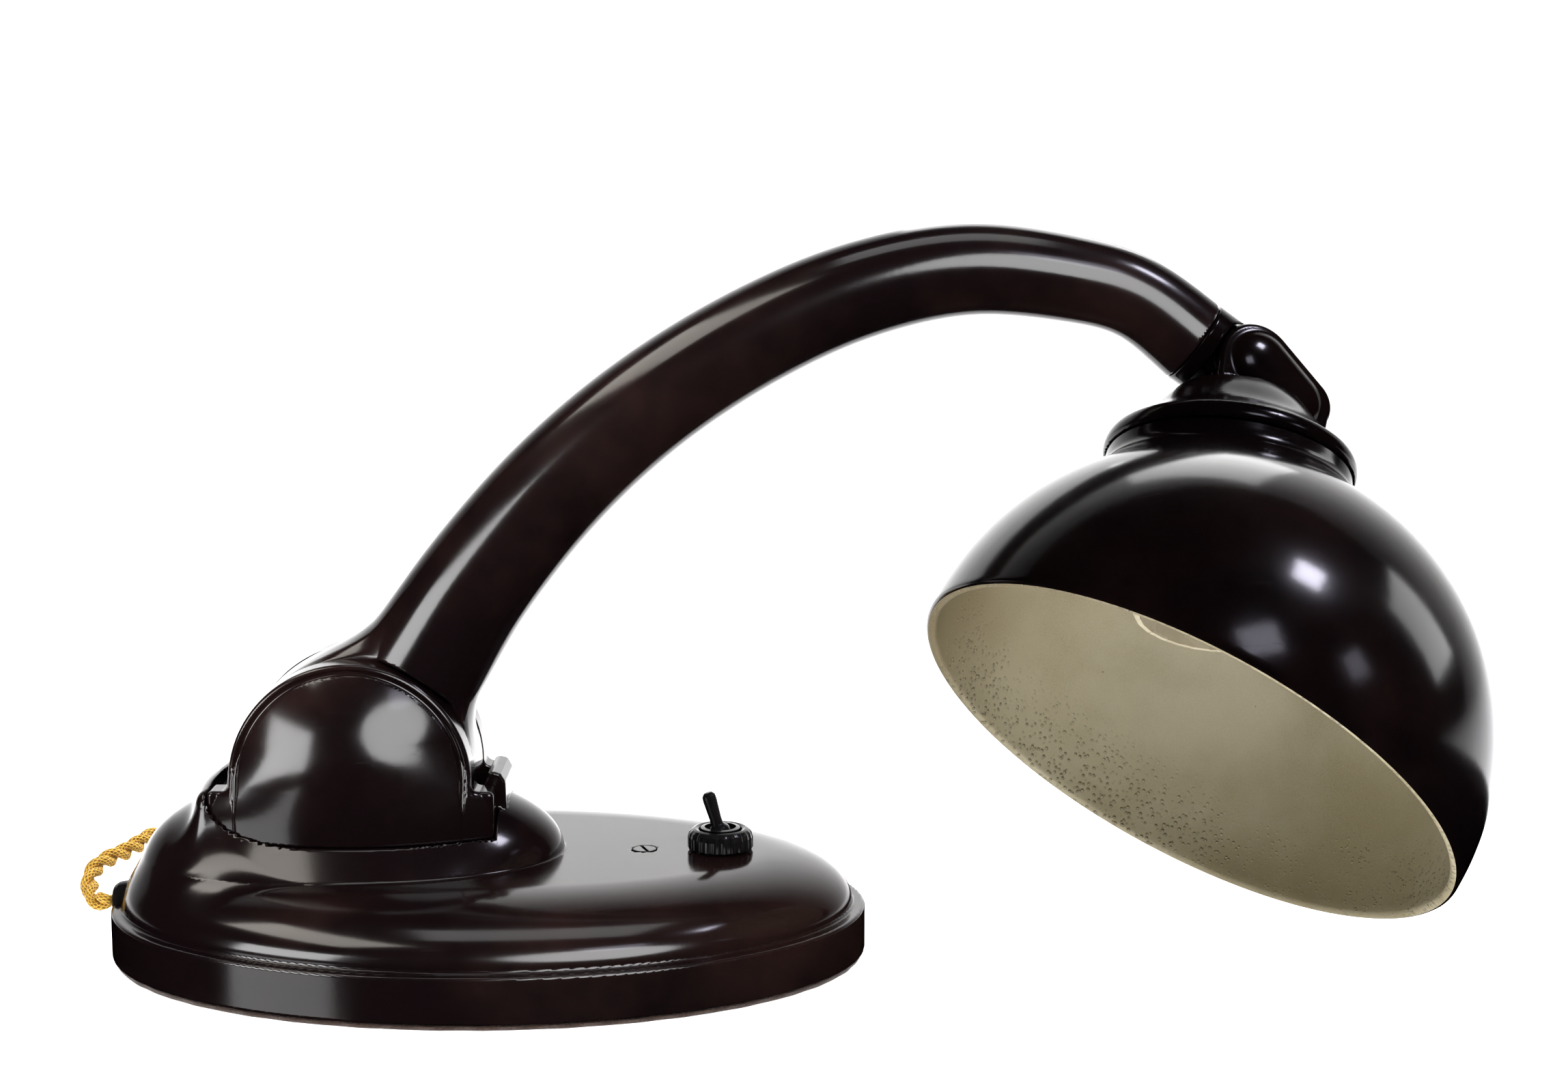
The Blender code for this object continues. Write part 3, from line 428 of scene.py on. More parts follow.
# ---- materials
class Shader:
    """A new material, and short ways to add nodes to it."""

    def __init__(self, name):
        self.material = bpy.data.materials.new(name)
        self.material.use_nodes = True
        self.tree = self.material.node_tree
        self.surface = self.tree.nodes["Principled BSDF"]
        self.place = self.tree.nodes.new("ShaderNodeTexCoord").outputs["Object"]

    def set(self, **values):
        self.feed(self.surface, {key.replace("_", " "): values[key] for key in values})

    def feed(self, node, inputs):
        for key, value in inputs.items():
            socket = node.inputs[key]
            if isinstance(value, bpy.types.NodeSocket):
                self.tree.links.new(value, socket)
            else:
                socket.default_value = value

    def node(self, kind, output, inputs, **settings):
        """Adds a node, feeds its inputs with values or sockets, and returns an output."""
        node = self.tree.nodes.new("ShaderNode" + kind)
        for key, value in settings.items():
            setattr(node, key, value)
        self.feed(node, inputs)
        return node.outputs[output]

    def noise(self, scale, detail=3.0, roughness=0.6, vector=None):
        return self.node("TexNoise", "Fac", {
            "Scale": scale, "Detail": detail, "Roughness": roughness,
            "Vector": vector or self.place})

    def voronoi(self, scale):
        return self.node("TexVoronoi", "Distance", {"Scale": scale, "Vector": self.place})

    def stretch(self, scale, rotation):
        return self.node("Mapping", "Vector", {
            "Vector": self.place, "Scale": scale, "Rotation": rotation})

    def ramp(self, value, low, high, start=0.0, end=1.0):
        return self.node("MapRange", "Result", {
            "Value": value, "From Min": low, "From Max": high, "To Min": start,
            "To Max": end}, interpolation_type="SMOOTHSTEP")

    def math(self, operation, a, b=0.0, c=0.0):
        return self.node("Math", 0, {0: a, 1: b, 2: c}, operation=operation)

    def times(self, a, b):
        return self.math("MULTIPLY", a, b)

    def mix(self, factor, a, b):
        return self.node("Mix", 2, {0: factor, 6: a, 7: b}, data_type="RGBA")

    def tint(self, base, mask, strength, *colour):
        """The base colour, taken towards another one where the mask is high."""
        return self.mix(self.times(mask, strength), base, rgb(*colour))

    def along(self, direction):
        """Distance along a direction, in metres from the origin."""
        return self.node("VectorMath", "Value", {0: self.place, 1: tuple(direction)},
                         operation="DOT_PRODUCT")

    def bump(self, height, strength, distance, below=None):
        """A bumped normal, on top of another one where there is one below."""
        inputs = {"Height": height, "Strength": strength, "Distance": distance}
        if below is not None:
            inputs["Normal"] = below
        return self.node("Bump", "Normal", inputs)


def rgb(*colour):
    return (*colour, 1.0)


def bakelite(name="moulded_bakelite", dark=(0.0012, 0.0006, 0.0007),
             warm=(0.0040, 0.0019, 0.0017), rough=0.13):
    """Polished phenolic moulding: near black, mottled with oxblood, with fine wear."""
    s = Shader(name)
    mottle = s.ramp(s.noise(16.0, 4.0, 0.6), 0.42, 0.72)
    base = s.mix(mottle, rgb(*dark), rgb(*warm))
    hairs_a = s.noise(60.0, vector=s.stretch((1.0, 9.0, 26.0), (0.3, 0.5, 0.2)))
    hairs_b = s.noise(52.0, vector=s.stretch((22.0, 1.0, 8.0), (0.9, 0.1, 1.1)))
    hairs = s.math("MAXIMUM", s.ramp(hairs_a, 0.66, 0.74), s.ramp(hairs_b, 0.67, 0.75))
    smear = s.ramp(s.noise(38.0), 0.40, 0.75)
    dust = s.ramp(s.voronoi(900.0), 0.07, 0.02)
    worn = s.math("MULTIPLY_ADD", hairs, 0.06, s.times(smear, 0.045))
    skin = s.bump(s.noise(420.0, 2.0, 0.5), 0.035, 0.0002)
    skin = s.bump(hairs, 0.05, 0.00003, skin)
    s.set(Base_Color=s.tint(base, dust, 0.15, 0.03, 0.027, 0.025), IOR=1.5,
          Roughness=s.math("ADD", worn, rough), Normal=skin, Specular_IOR_Level=0.14)
    return s.material


def champagne_paint():
    """Old metallic lacquer inside the shade: khaki silver, blistered towards its mouth, with
    painted shade and painted highlights.
    """
    s = Shader("champagne_lacquer")
    cloud = s.ramp(s.noise(22.0, 4.0, 0.6), 0.30, 0.70)
    base = s.mix(cloud, rgb(0.205, 0.172, 0.094), rgb(0.285, 0.255, 0.168))
    grain = s.noise(2600.0, 2.0, 0.6)
    base = s.mix(s.ramp(grain, 0.3, 0.7, 0.0, 0.25), base, rgb(0.38, 0.35, 0.26))
    mouth = SHADE_FRAME.to_3x3() @ MOUTH_DIR
    middle = SHADE_FRAME @ Vector((0.0, 0.0, -SHADE_DROP))
    # Painted shade: the lacquer is darker and browner towards one side of the shade's inside.
    painted_side_shade = s.ramp(s.along(HEAD_SIDE), middle.dot(HEAD_SIDE) - 0.010,
                     middle.dot(HEAD_SIDE) - 0.075)
    base = s.tint(base, painted_side_shade, 0.75, 0.100, 0.076, 0.034)
    near_mouth = s.ramp(s.along(mouth), middle.dot(mouth) - 0.022, middle.dot(mouth) + 0.004)
    patch = s.times(s.ramp(s.noise(24.0), 0.36, 0.56), near_mouth)
    cells = s.voronoi(640.0)
    blister_and_highlight = s.times(s.ramp(cells, 0.34, 0.08), patch)
    # Painted shadow: a darker ring round each of the blisters.
    painted_blister_shadow = s.times(s.ramp(cells, 0.48, 0.34), patch)
    base = s.tint(base, painted_blister_shadow, 0.40, 0.105, 0.084, 0.042)
    # Painted highlight: the middles of the blisters are lighter; the same mask also bumps them
    # up.
    base = s.tint(base, blister_and_highlight, 0.60, 0.36, 0.32, 0.21)
    pits = s.times(s.ramp(s.voronoi(160.0), 0.05, 0.03),
                  s.ramp(s.noise(45.0, 2.0, 0.5), 0.55, 0.60))
    base = s.tint(base, pits, 0.8, 0.05, 0.04, 0.025)
    bumps = s.bump(blister_and_highlight, 1.0, 0.0006)
    bumps = s.bump(grain, 0.12, 0.0001, bumps)
    s.set(Base_Color=base, Roughness=s.ramp(cloud, 0.0, 1.0, 0.50, 0.60), Metallic=0.15,
          Normal=bumps)
    return s.material


def braid():
    """Cotton or rayon braid: two sets of threads crossing on a lead."""
    s = Shader("woven_gold_braid")
    thread_gap, threads_around = 0.0016, 8.0
    uv = s.node("UVMap", "UV", {}, uv_map="lead")
    along, around = (s.node("SeparateXYZ", axis, {"Vector": uv}) for axis in "XY")
    run = s.times(along, 2.0 * pi / thread_gap)
    turn = s.times(around, 2.0 * pi * threads_around)
    left = s.math("SINE", s.math("ADD", run, turn))
    right = s.math("SINE", s.math("SUBTRACT", run, turn))
    weave = s.math("MAXIMUM", left, right)
    thread = s.noise(2400.0, 3.0, 0.7)
    # Painted shade and highlight: darker in the grooves between the threads, lighter on their
    # crests.
    base = s.mix(s.ramp(weave, -0.2, 0.9), rgb(0.30, 0.125, 0.006), rgb(0.82, 0.450, 0.030))
    base = s.mix(s.ramp(thread, 0.35, 0.75, 0.0, 0.45), base, rgb(0.88, 0.56, 0.08))
    bumps = s.bump(weave, 0.9, 0.0004)
    s.set(Base_Color=base, Roughness=0.72, Normal=s.bump(thread, 0.3, 0.0001, bumps),
          Sheen_Weight=0.08, Sheen_Roughness=0.4)
    return s.material


def felt():
    s = Shader("worn_felt")
    fibre = s.noise(1800.0, 4.0, 0.7)
    base = s.mix(s.ramp(fibre, 0.3, 0.7), rgb(0.020, 0.009, 0.005), rgb(0.060, 0.028, 0.014))
    s.set(Base_Color=base, Roughness=0.95, Normal=s.bump(fibre, 0.8, 0.0004),
          Sheen_Weight=0.4)
    return s.material


def metal(name, colour, roughness, tarnish):
    s = Shader(name)
    cloud = s.ramp(s.noise(90.0, 4.0, 0.6), 0.35, 0.70)
    fine = s.noise(900.0)
    s.set(Base_Color=s.tint(rgb(*colour), cloud, 0.45, *tarnish),
          Metallic=1.0, Normal=s.bump(fine, 0.15, 0.0001),
          Roughness=s.ramp(fine, 0.2, 0.8, roughness - 0.08, roughness + 0.12))
    return s.material


def cast_iron():
    s = Shader("rough_cast_iron")
    lumps = s.noise(500.0, 5.0, 0.65)
    base = s.mix(s.ramp(s.noise(70.0), 0.5, 0.7), rgb(0.075, 0.072, 0.072),
                 rgb(0.13, 0.06, 0.03))
    s.set(Base_Color=base, Metallic=0.6, Roughness=0.75, Normal=s.bump(lumps, 0.7, 0.0006))
    return s.material


def porcelain():
    s = Shader("glazed_porcelain")
    cloud = s.noise(60.0)
    specks = s.ramp(s.voronoi(420.0), 0.06, 0.03)
    base = s.mix(s.ramp(cloud, 0.3, 0.7), rgb(0.30, 0.265, 0.185), rgb(0.38, 0.34, 0.25))
    s.set(Base_Color=s.tint(base, specks, 0.5, 0.2, 0.14, 0.08),
          Roughness=s.ramp(cloud, 0.3, 0.7, 0.22, 0.36),
          Normal=s.bump(s.noise(300.0, 2.0, 0.5), 0.08, 0.0003))
    return s.material


def rubber():
    s = Shader("rubber_insulation")
    fine = s.noise(1200.0)
    s.set(Base_Color=s.mix(fine, rgb(0.018, 0.018, 0.018), rgb(0.05, 0.048, 0.045)),
          Roughness=0.62, Normal=s.bump(fine, 0.25, 0.0002))
    return s.material


# ---- the flex
def coil_path():
    """Turns of the coil, clockwise from above: each layer goes on from the last's end."""
    enter = radians(172.0)
    per_turn = 24
    unused_turn = 0.12
    turns = COIL_WIDE * COIL_HIGH
    sizes, heights = [], []
    for layer in range(COIL_HIGH):
        for side in ((1, -1), (-1, 1))[layer % 2]:
            sizes.append(COIL_TURN_R + side * FLEX_R)
            heights.append(FLEX_R + layer * 2 * FLEX_R)
    points = []
    for k in range(1, int(per_turn * (turns - unused_turn)) + 1):
        at = k / per_turn
        turn = int(at)
        following = min(turn + 1, turns - 1)
        shift = float(ease(at - turn, 0.80, 1.0))           # over the end of each turn
        size = sizes[turn] + (sizes[following] - sizes[turn]) * shift
        height = heights[turn] + (heights[following] - heights[turn]) * shift
        angle = enter - 2 * pi * at
        x, y = COIL_CENTRE.x + size * cos(angle), COIL_CENTRE.y + size * sin(angle)
        points.append((x, y, height))
    return points


PLUG_Z = COIL_HIGH * 2 * FLEX_R + PLUG_R + GAP
PLUG_LEAD = [
    (-0.0893, 0.0990, 0.0203), (-0.0918, 0.1080, 0.0232), (-0.0926, 0.1165, 0.0279),
    (-0.0911, 0.1250, 0.0328), (-0.0873, 0.1330, 0.0361), (-0.0828, 0.1376, PLUG_Z),
    (-0.0785, 0.1385, PLUG_Z),
]


def resample(points, step):
    """Points at even steps along a line, and how far along each of them is."""
    travel = travelled(points)
    along = np.linspace(0.0, travel[-1], int(travel[-1] / step) + 1)
    return np.stack([interp(along, travel, points[:, i]) for i in range(3)], 1), along


def carried_frames(line):
    """Two directions across a line at each point, turning as little as possible."""
    tangent = np.gradient(line, axis=0)
    tangent /= np.linalg.norm(tangent, axis=1)[:, None]
    side = np.cross(tangent[0], (0.0, 0.0, 1.0))
    sides = []
    for t in tangent:
        side = side - t * side.dot(t)
        side /= np.linalg.norm(side)
        sides.append(side)
    sides = np.array(sides)
    return sides, np.cross(tangent, sides)


def build_flex(material):
    """Two braided leads twisted round each other along the route, as one mesh."""
    step, lead_r, pitch, around = 0.0011, 0.00143, 0.0150, 12
    route = catmull(FLEX_ROUTE + coil_path() + PLUG_LEAD, 3)
    line, along = resample(route, step)
    side, up = carried_frames(line)
    verts, faces, uvs = [], [], []
    for half in (0.0, pi):
        twist = 2 * pi * along / pitch + half
        offset = side * np.cos(twist)[:, None] + up * np.sin(twist)[:, None]
        centre = line + offset * (FLEX_R - lead_r)
        lead_side, lead_up = carried_frames(centre)
        start = len(verts)
        for c, a, b in zip(centre, lead_side, lead_up):
            for angle in turn_angles(around):
                verts.append(c + (a * cos(angle) + b * sin(angle)) * lead_r)
        for i in range(len(centre) - 1):
            for k in range(around):
                j = (k + 1) % around
                row, following = start + i * around, start + (i + 1) * around
                faces.append((row + k, following + k, following + j, row + j))
                here, there, low, high = along[i], along[i + 1], k / around, (k + 1) / around
                uvs += [(here, low), (there, low), (there, high), (here, high)]
        for row, flip in ((start, False), (len(verts) - around, True)):
            cap = [row + k for k in range(around)]
            faces.append(cap[::-1] if flip else cap)
            uvs += [(along[0], k / around) for k in range(around)]
    obj = add_mesh("braided_flex", verts, faces, [material])
    layer = obj.data.uv_layers.new(name="lead")
    layer.data.foreach_set("uv", np.array(uvs, float).ravel())
    return obj, route


def build_plug(black, brass):
    """Round two-pin plug lying on the coil, its pins along +X."""
    place = Matrix.Translation((*PLUG_SPOT, PLUG_Z))
    body = lathe("round_plug", [
        (0.0, -0.0180), (0.0034, -0.0180), (0.0034, -0.0200), (0.0048, -0.0200),
        (0.0056, -0.0150), (0.0063, -0.0118), (0.0100, -0.0070), (0.0126, -0.0030),
        (PLUG_R, 0.0020), (PLUG_R, 0.0060), (0.0134, 0.0066), (0.0134, 0.0080),
        (PLUG_R, 0.0086), (PLUG_R, 0.0165), (0.0, 0.0165)], black, place, "X", 64,
        radius=0.0008)
    pins = []
    for k, y in enumerate((-0.0083, 0.0083)):
        pins.append(lathe(f"round_pin_{k + 1}", [
            (0.0, 0.0166), (0.0025, 0.0166), (0.0025, 0.0325), (0.0016, 0.0345),
            (0.0, 0.0345)], brass, place @ Matrix.Translation((0, y, 0)), "X", 32))
    for piece in [body] + pins:
        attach(piece, "base")
    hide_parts("plug_body")
    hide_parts("plug_pin_1")
    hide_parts("plug_pin_2")
    return [body] + pins


def build_bushing(black):
    """Domed bushing in the end of the base."""
    bush = lathe("domed_bushing", [
        (0.0031, -0.0985), (0.0055, -0.0985), (0.0055, -0.1072), (0.0052, -0.1088),
        (0.0044, -0.1100), (0.0036, -0.1105), (0.0031, -0.1101)], black,
        Matrix.Translation((0, 0, BUSH_Z)), "X", 48, tube=True, radius=0.0003)
    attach(bush, "base")
    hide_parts("cord_bushing")
    return bush


# ---- the base shell
def oval_distance(x, y):
    """Distance outside the base's oval, negative inside."""
    near = hypot(x / BASE_A, y / BASE_B)
    slope = hypot(x / BASE_A ** 2, y / BASE_B ** 2)
    return near * (near - 1.0) / maximum(slope, 1e-6)


def crown_distance(inset, z):
    """The rounded crown: a quarter of an ellipse in section, under a flat top."""
    low = RIM_TOP + 0.0006
    rise = TOP_Z - low
    u = maximum(LEDGE + CROWN_WIDTH - inset, 0.0) / CROWN_WIDTH
    v = maximum(z - low, 0.0) / rise
    size = hypot(u, v)
    slope = hypot(u / CROWN_WIDTH, v / rise)
    return where(size > 1e-4, size * (size - 1.0) / maximum(slope, 1e-6), -rise)


def hump_distance(x, y, z):
    """The hump: a half ellipsoid at its ends, with straighter flanks at its sides."""
    steep = 1.8
    length = sqrt(1.0 + steep ** 2)
    u, w = (x - HUMP_X) / HUMP_A, y / HUMP_B
    rho = hypot(u, w) + 1e-9
    rho_slope = hypot(u / HUMP_A, w / HUMP_B) / rho
    v = maximum(z - TOP_Z, 0.0) / HUMP_H
    beside = (w / rho) ** 2
    size = hypot(rho, v) + 1e-9
    flank = smooth_max((v + steep * (rho - 1.0)) / length, v - 1.0, 0.12)
    value = (1 - beside) * (size - 1.0) + beside * flank
    by_rho = (1 - beside) * rho / size + beside * steep / length
    by_v = (1 - beside) * v / size + beside / length
    return value / maximum(hypot(by_rho * rho_slope, by_v / HUMP_H), 1e-3)


def cheek_depth(dx):
    """How far a cheek's foot stands out."""
    return CHEEK_OUT + CHEEK_BULGE * maximum(0.0, 1.0 - (dx / CHEEK_HALF) ** 2)


def lip_outline(side):
    """The lip at an end of the hinge's seat; the one at the back end is lower."""
    drop = 0.0 if side > 0 else BACK_LIP_DROP
    shape = [(0.0340, 0.0380), (0.0352, 0.0490 - drop), (0.0384, 0.0562 - drop),
             (0.0398, 0.0566 - drop), (0.0420, 0.0560 - drop), (0.0434, 0.0535 - drop),
             (0.0438, 0.0380)]
    return [(DRUM.x + side * dx, z) for dx, z in shape]


def base_distance(p):
    """Rim, crown and hump, with the hinge's seat, its lips and the openings."""
    x, y, z = p.T
    inset = -oval_distance(x, y)
    rim = round_both(-inset, z - RIM_TOP, 0.0008)
    body = smooth_min(rim, crown_distance(inset, z), 0.0009)
    hump_fillet = 0.0007 + 0.0150 * ease(-x, 0.045, 0.095)      # wide at the back only
    body = smooth_min(body, hump_distance(x, y, z), hump_fillet)
    dx = x - DRUM.x
    step = round_both(np.abs(y) - CHEEK_OUT - 0.0004, z - CHEEK_SHOULDER + 0.0003, 0.0040)
    step = round_both(maximum(step, dx + 0.030), -dx - CHEEK_HALF - 0.0031, 0.0030)
    body = smooth_min(body, step, 0.0100)
    solid = round_both(body, FELT_THICK + GAP - z, 0.0006)
    pocket = maximum(np.abs(dx) - CHEEK_HALF - GAP, np.abs(y) - cheek_depth(dx) - GAP)
    pocket = maximum(pocket, CHEEK_FOOT - GAP - z)
    solid = smooth_max(solid, -pocket, 0.0006)
    for side in (-1, 1):
        lip = round_both(outline_distance(x, z, lip_outline(side)), np.abs(y) - HUB_HALF, 0.0008)
        solid = minimum(solid, lip)
    slot = maximum(np.abs(dx) - DRUM_R - 0.0012, np.abs(y) - HUB_HALF - 0.0004)
    slot = maximum(slot, 0.010 - z)
    hollow = maximum(body + WALL, z - HUMP_ROOF)
    solid = maximum(solid, -minimum(slot, hollow))
    for hole_x, radius in ((SWITCH_X, 0.0063), (SCREW_X, 0.0037)):
        solid = maximum(solid, radius - hypot(x - hole_x, y))
    entry = maximum(hypot(y, z - BUSH_Z) - 0.0058, x + 0.085)
    return smooth_max(solid, -entry, 0.0006)


def build_base_shell(material):
    shell = field_mesh("moulded_base", base_distance, (-0.1125, -0.0755, 0.0),
                       (0.1125, 0.0755, 0.0600), 0.0008, material)
    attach(shell, "base")
    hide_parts("base_shell")


# ---- the cheeks
def cheek_distance(p, side):
    """A domed cheek on a square foot; its dome sits in a ring only above the shoulders."""
    x, y, z = p.T
    out = y * side
    dx, dz = x - DRUM.x, z - DRUM.z
    reach = hypot(dx, maximum(dz, 0.0))
    above = ease(z, 0.0420, 0.0680)
    shoulder = round_both(np.abs(dx) - CHEEK_HALF, z - CHEEK_SHOULDER, 0.0016)
    plan = smooth_min(reach - DRUM_R, shoulder, 0.0024)
    ring = CHEEK_OUT - 0.0002
    dome_r = CHEEK_HALF + (DRUM_R - 0.0026 - CHEEK_HALF) * above
    rise = CHEEK_BULGE + 0.0002 + 0.0006 * above
    dome = CHEEK_OUT + CHEEK_BULGE - rise * (reach / dome_r) ** 2
    face = out - maximum(dome, ring)
    solid = round_both(plan, face * where(dome > ring, 0.86, 1.0), 0.0013)
    groove = hypot(reach - DRUM_R + 0.0024, face) - 0.0008 * ease(z, 0.0470, 0.0540)
    solid = smooth_max(solid, -groove, 0.0005)
    solid = smooth_max(solid, CHEEK_IN - out, 0.0004)
    solid = round_both(solid, CHEEK_FOOT - z, 0.0006)
    from_axis = hypot(dx, dz)
    seat = maximum(from_axis - WASHER_SEAT[0], out - WASHER_SEAT[1])
    bolt = maximum(from_axis - BOLT_RECESS[0], out - BOLT_RECESS[1])
    return maximum(solid, -minimum(seat, bolt))


def build_cheeks(material):
    for side, word in ((-1, "near"), (1, "far")):
        low_y, high_y = sorted((side * 0.0100, side * 0.0330))
        cheek = field_mesh(f"domed_cheek_{word}", lambda p: cheek_distance(p, side),
                           (-0.0800, low_y, 0.0385), (0.0052, high_y, 0.0912), 0.00055,
                           material)
        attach(cheek, "base")
        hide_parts(f"hinge_cheek_{word}")


# ---- the arm
def angle_round_middle(x, z):
    """Angle about ARM_MIDDLE, without a jump along the arm."""
    angle = np.arctan2(z - ARM_MIDDLE[1], x - ARM_MIDDLE[0])
    return where(angle < -pi / 2, angle + 2 * pi, angle)


def arm_table():
    """The arm's centre line at fine steps: travel, x, z, direction, radius and angle."""
    rough = catmull(ARM_LINE, 24)
    travel = travelled(rough[:, :2])
    knots = np.linspace(0.0, travel[-1], ARM_KNOTS)
    half = ARM_SMOOTHING // 2
    kernel = np.hanning(ARM_SMOOTHING)
    kernel /= kernel.sum()
    smooth = []
    for rough_col in rough.T:
        col = interp(knots, travel, rough_col)
        before = 2 * col[0] - col[half:0:-1]
        after = 2 * col[-1] - col[-2:-half - 2:-1]
        smooth.append(np.convolve(np.concatenate([before, col, after]), kernel, "valid"))
    x, z, radius = smooth
    return (knots, x, z, np.gradient(x, knots), np.gradient(z, knots), radius,
            angle_round_middle(x, z))


ARM = arm_table()


def arm_distance(p):
    """The arm: a round tube on a curved line, standing on the rim of a flat hub."""
    knots, line_x, line_z, dir_x, dir_z, radius, angle = ARM
    x, y, z = p.T
    along = interp(angle_round_middle(x, z), angle[::-1], knots[::-1])
    for _ in range(4):
        cx, cz = interp(along, knots, line_x), interp(along, knots, line_z)
        tx, tz = interp(along, knots, dir_x), interp(along, knots, dir_z)
        along = np.clip(along + (x - cx) * tx + (z - cz) * tz, 0.0, knots[-1])
    cx, cz = interp(along, knots, line_x), interp(along, knots, line_z)
    across = np.sqrt((x - cx) ** 2 + (z - cz) ** 2 + (y / ARM_FLATNESS) ** 2)
    tube = across - interp(along, knots, radius)
    tip_x, tip_z = x - HEAD_PIVOT.x, z - HEAD_PIVOT.z
    before_end = -(tip_x * TIP_DIR.x + tip_z * TIP_DIR.z) - ARM_END
    tip_across = hypot(tip_x * TIP_ACROSS.x + tip_z * TIP_ACROSS.z, y)
    dx, dz = x - DRUM.x, z - DRUM.z
    reach = hypot(dx, dz)
    foot = round_both(tube, FOOT_R - reach, 0.0009)
    web = maximum(tube + 0.0012, np.abs(y) - HUB_HALF)
    hub = round_both(reach - HUB_R, np.abs(y) - HUB_HALF, 0.0003)
    back = ease(dx * BACK_DIR[0] + dz * BACK_DIR[1], -0.004, 0.018)
    back = back * ease(reach, 0.026, 0.034) * ease(np.abs(y), 0.0160, 0.0080)
    under = ease(dx * UNDER_DIR[0] + dz * UNDER_DIR[1], 0.016, 0.030)
    under = under * ease(np.abs(y), 0.0150, 0.0080)
    fillet = 0.0008 + 0.0150 * back + 0.0080 * under
    solid = smooth_min(foot, hub, fillet)
    solid = minimum(solid, web)
    solid = round_both(solid, -before_end, 0.0005)
    socket = maximum(tip_across - 0.0082, before_end - 0.0125)
    pivot = PIVOT_R + GAP - reach
    return maximum(maximum(solid, -socket), pivot)


def build_arm(material):
    arm = field_mesh("curved_arm", arm_distance, (-0.0725, -0.0200, 0.0200),
                     (0.2080, 0.0200, 0.2150), 0.0007, material)
    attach(arm, "arm")
    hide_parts("arm")


# ---- the head
def knuckle_distance(p):
    """Tongue, collar with a saddle for the hood, and the stem in the arm's tip."""
    x, y, z = p.T
    across = hypot(y, z)
    front = where(z > 0.0, maximum(SADDLE_R - hypot(x, z), x + 0.0060), x + SADDLE_R)
    collar = round_both(across - COLLAR_R, maximum(front, -x - 0.0166), 0.0006)
    stem = round_both(across - 0.0076, np.abs(x + 0.0210) - 0.0075, 0.0005)
    flat = maximum(np.abs(z) - 0.0085, np.abs(x + 0.0075) - 0.0075)
    outline = smooth_min(hypot(x, z) - TONGUE_R, flat, 0.002)
    tongue = round_both(outline, np.abs(y) - TONGUE_HALF, 0.0006)
    solid = smooth_min(minimum(collar, stem), tongue, 0.0012)
    solid = maximum(solid, 0.0023 - hypot(x, z))
    return maximum(solid, -maximum(across - 0.0032, x + 0.0050))


def build_knuckle(material):
    knuckle = field_mesh("swivelling_knuckle", knuckle_distance, (-0.0300, -0.0135, -0.0135),
                         (0.0110, 0.0135, 0.0135), 0.0005, material, KNUCKLE_FRAME)
    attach(knuckle, "knuckle")
    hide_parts("swivel_knuckle")


def hood_outline():
    """Side view of the hood: round over the hinge, with a sloping back and a soft corner."""
    slope = radians(36.0)
    points = [(HOOD_R * cos(a), HOOD_R * sin(a))
              for a in (pi - (pi / 2 + slope) * k / 20 for k in range(21))]
    points += [(0.0157 + 0.0085 * cos(a), -0.0078 + 0.0085 * sin(a))
               for a in (pi / 2 - slope - radians(76.0) * k / 16 for k in range(17))]
    return points + [(0.0228, -0.0200), (-HOOD_R, -0.0200)]


def cap_outline():
    """Half section of the cap: a domed top, a crease, and a flange with a round edge."""
    dome = [(0.0, -0.0066), (0.0080, -0.0067), (0.0140, -0.0074), (0.0182, -0.0091)]
    flank = catmull([(0.0182, -0.0091), (0.0220, -0.0133), (0.0273, -0.0196),
                     (0.0322, -0.0240)], 5)
    flange = catmull([(0.0330, -0.0247), (0.0345, -0.0253), (0.0354, -0.0270),
                      (0.0355, -0.0290), (0.0350, -0.0303)], 4)
    under = [(0.0335, -0.0303), (0.0300, -0.0303), (0.0300, -0.0270), (0.0200, -0.0265),
             (0.0120, -0.0220), (0.0, -0.0220)]
    return [tuple(p) for p in dome + list(flank[1:]) + list(flange) + under]


CAP_OUTLINE = cap_outline()
HOOD_OUTLINE = hood_outline()


def head_distance(p):
    """The turned cap under a hood, which is slotted for the knuckle's tongue."""
    x, y, z = p.T
    across = hypot(x, y)
    cap = outline_distance(across, z, CAP_OUTLINE + [(-0.01, -0.0220), (-0.01, -0.0066)])
    side = outline_distance(x, z, HOOD_OUTLINE)
    hood = round_both(side, np.abs(y) - HOOD_HALF, 0.0018)
    start_x, run_x, run_z = 0.0006, 0.0110, -0.0085     # a raised boss along each side
    spine = (x - start_x) * run_x + z * run_z
    spine = np.clip(spine / (run_x ** 2 + run_z ** 2), 0.0, 1.0)
    beside = hypot(x - start_x - run_x * spine, z - run_z * spine)
    dome = hypot(beside, (np.abs(y) - HOOD_HALF + 0.0006) * 2.5) - 0.0088
    hood = smooth_min(hood, dome * 0.6, 0.0010)
    solid = smooth_min(cap, hood, 0.0009)
    reach = hypot(x, z)
    angle = np.degrees(np.arctan2(z, x)) % 360.0
    mouth = (angle > SLOT_OPEN[0]) & (angle < SLOT_OPEN[1])
    slot = maximum(where(mouth, -0.002, reach - SLOT_R), np.abs(y) - SLOT_HALF)
    slot = where(reach > SLOT_R, maximum(slot, -z - 0.0068), slot)
    solid = smooth_max(solid, -slot, 0.0005)
    bolt = maximum(reach - 0.0045, np.abs(y) - 0.0118)
    wire = maximum(across - 0.0054, z + 0.0060)
    return maximum(solid, -minimum(bolt, wire))


def build_head(material):
    cap = field_mesh("hooded_cap", head_distance, (-0.0375, -0.0375, -0.0320),
                     (0.0375, 0.0375, 0.0135), 0.00055, material, HEAD_FRAME)
    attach(cap, "head")
    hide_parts("head_cap")


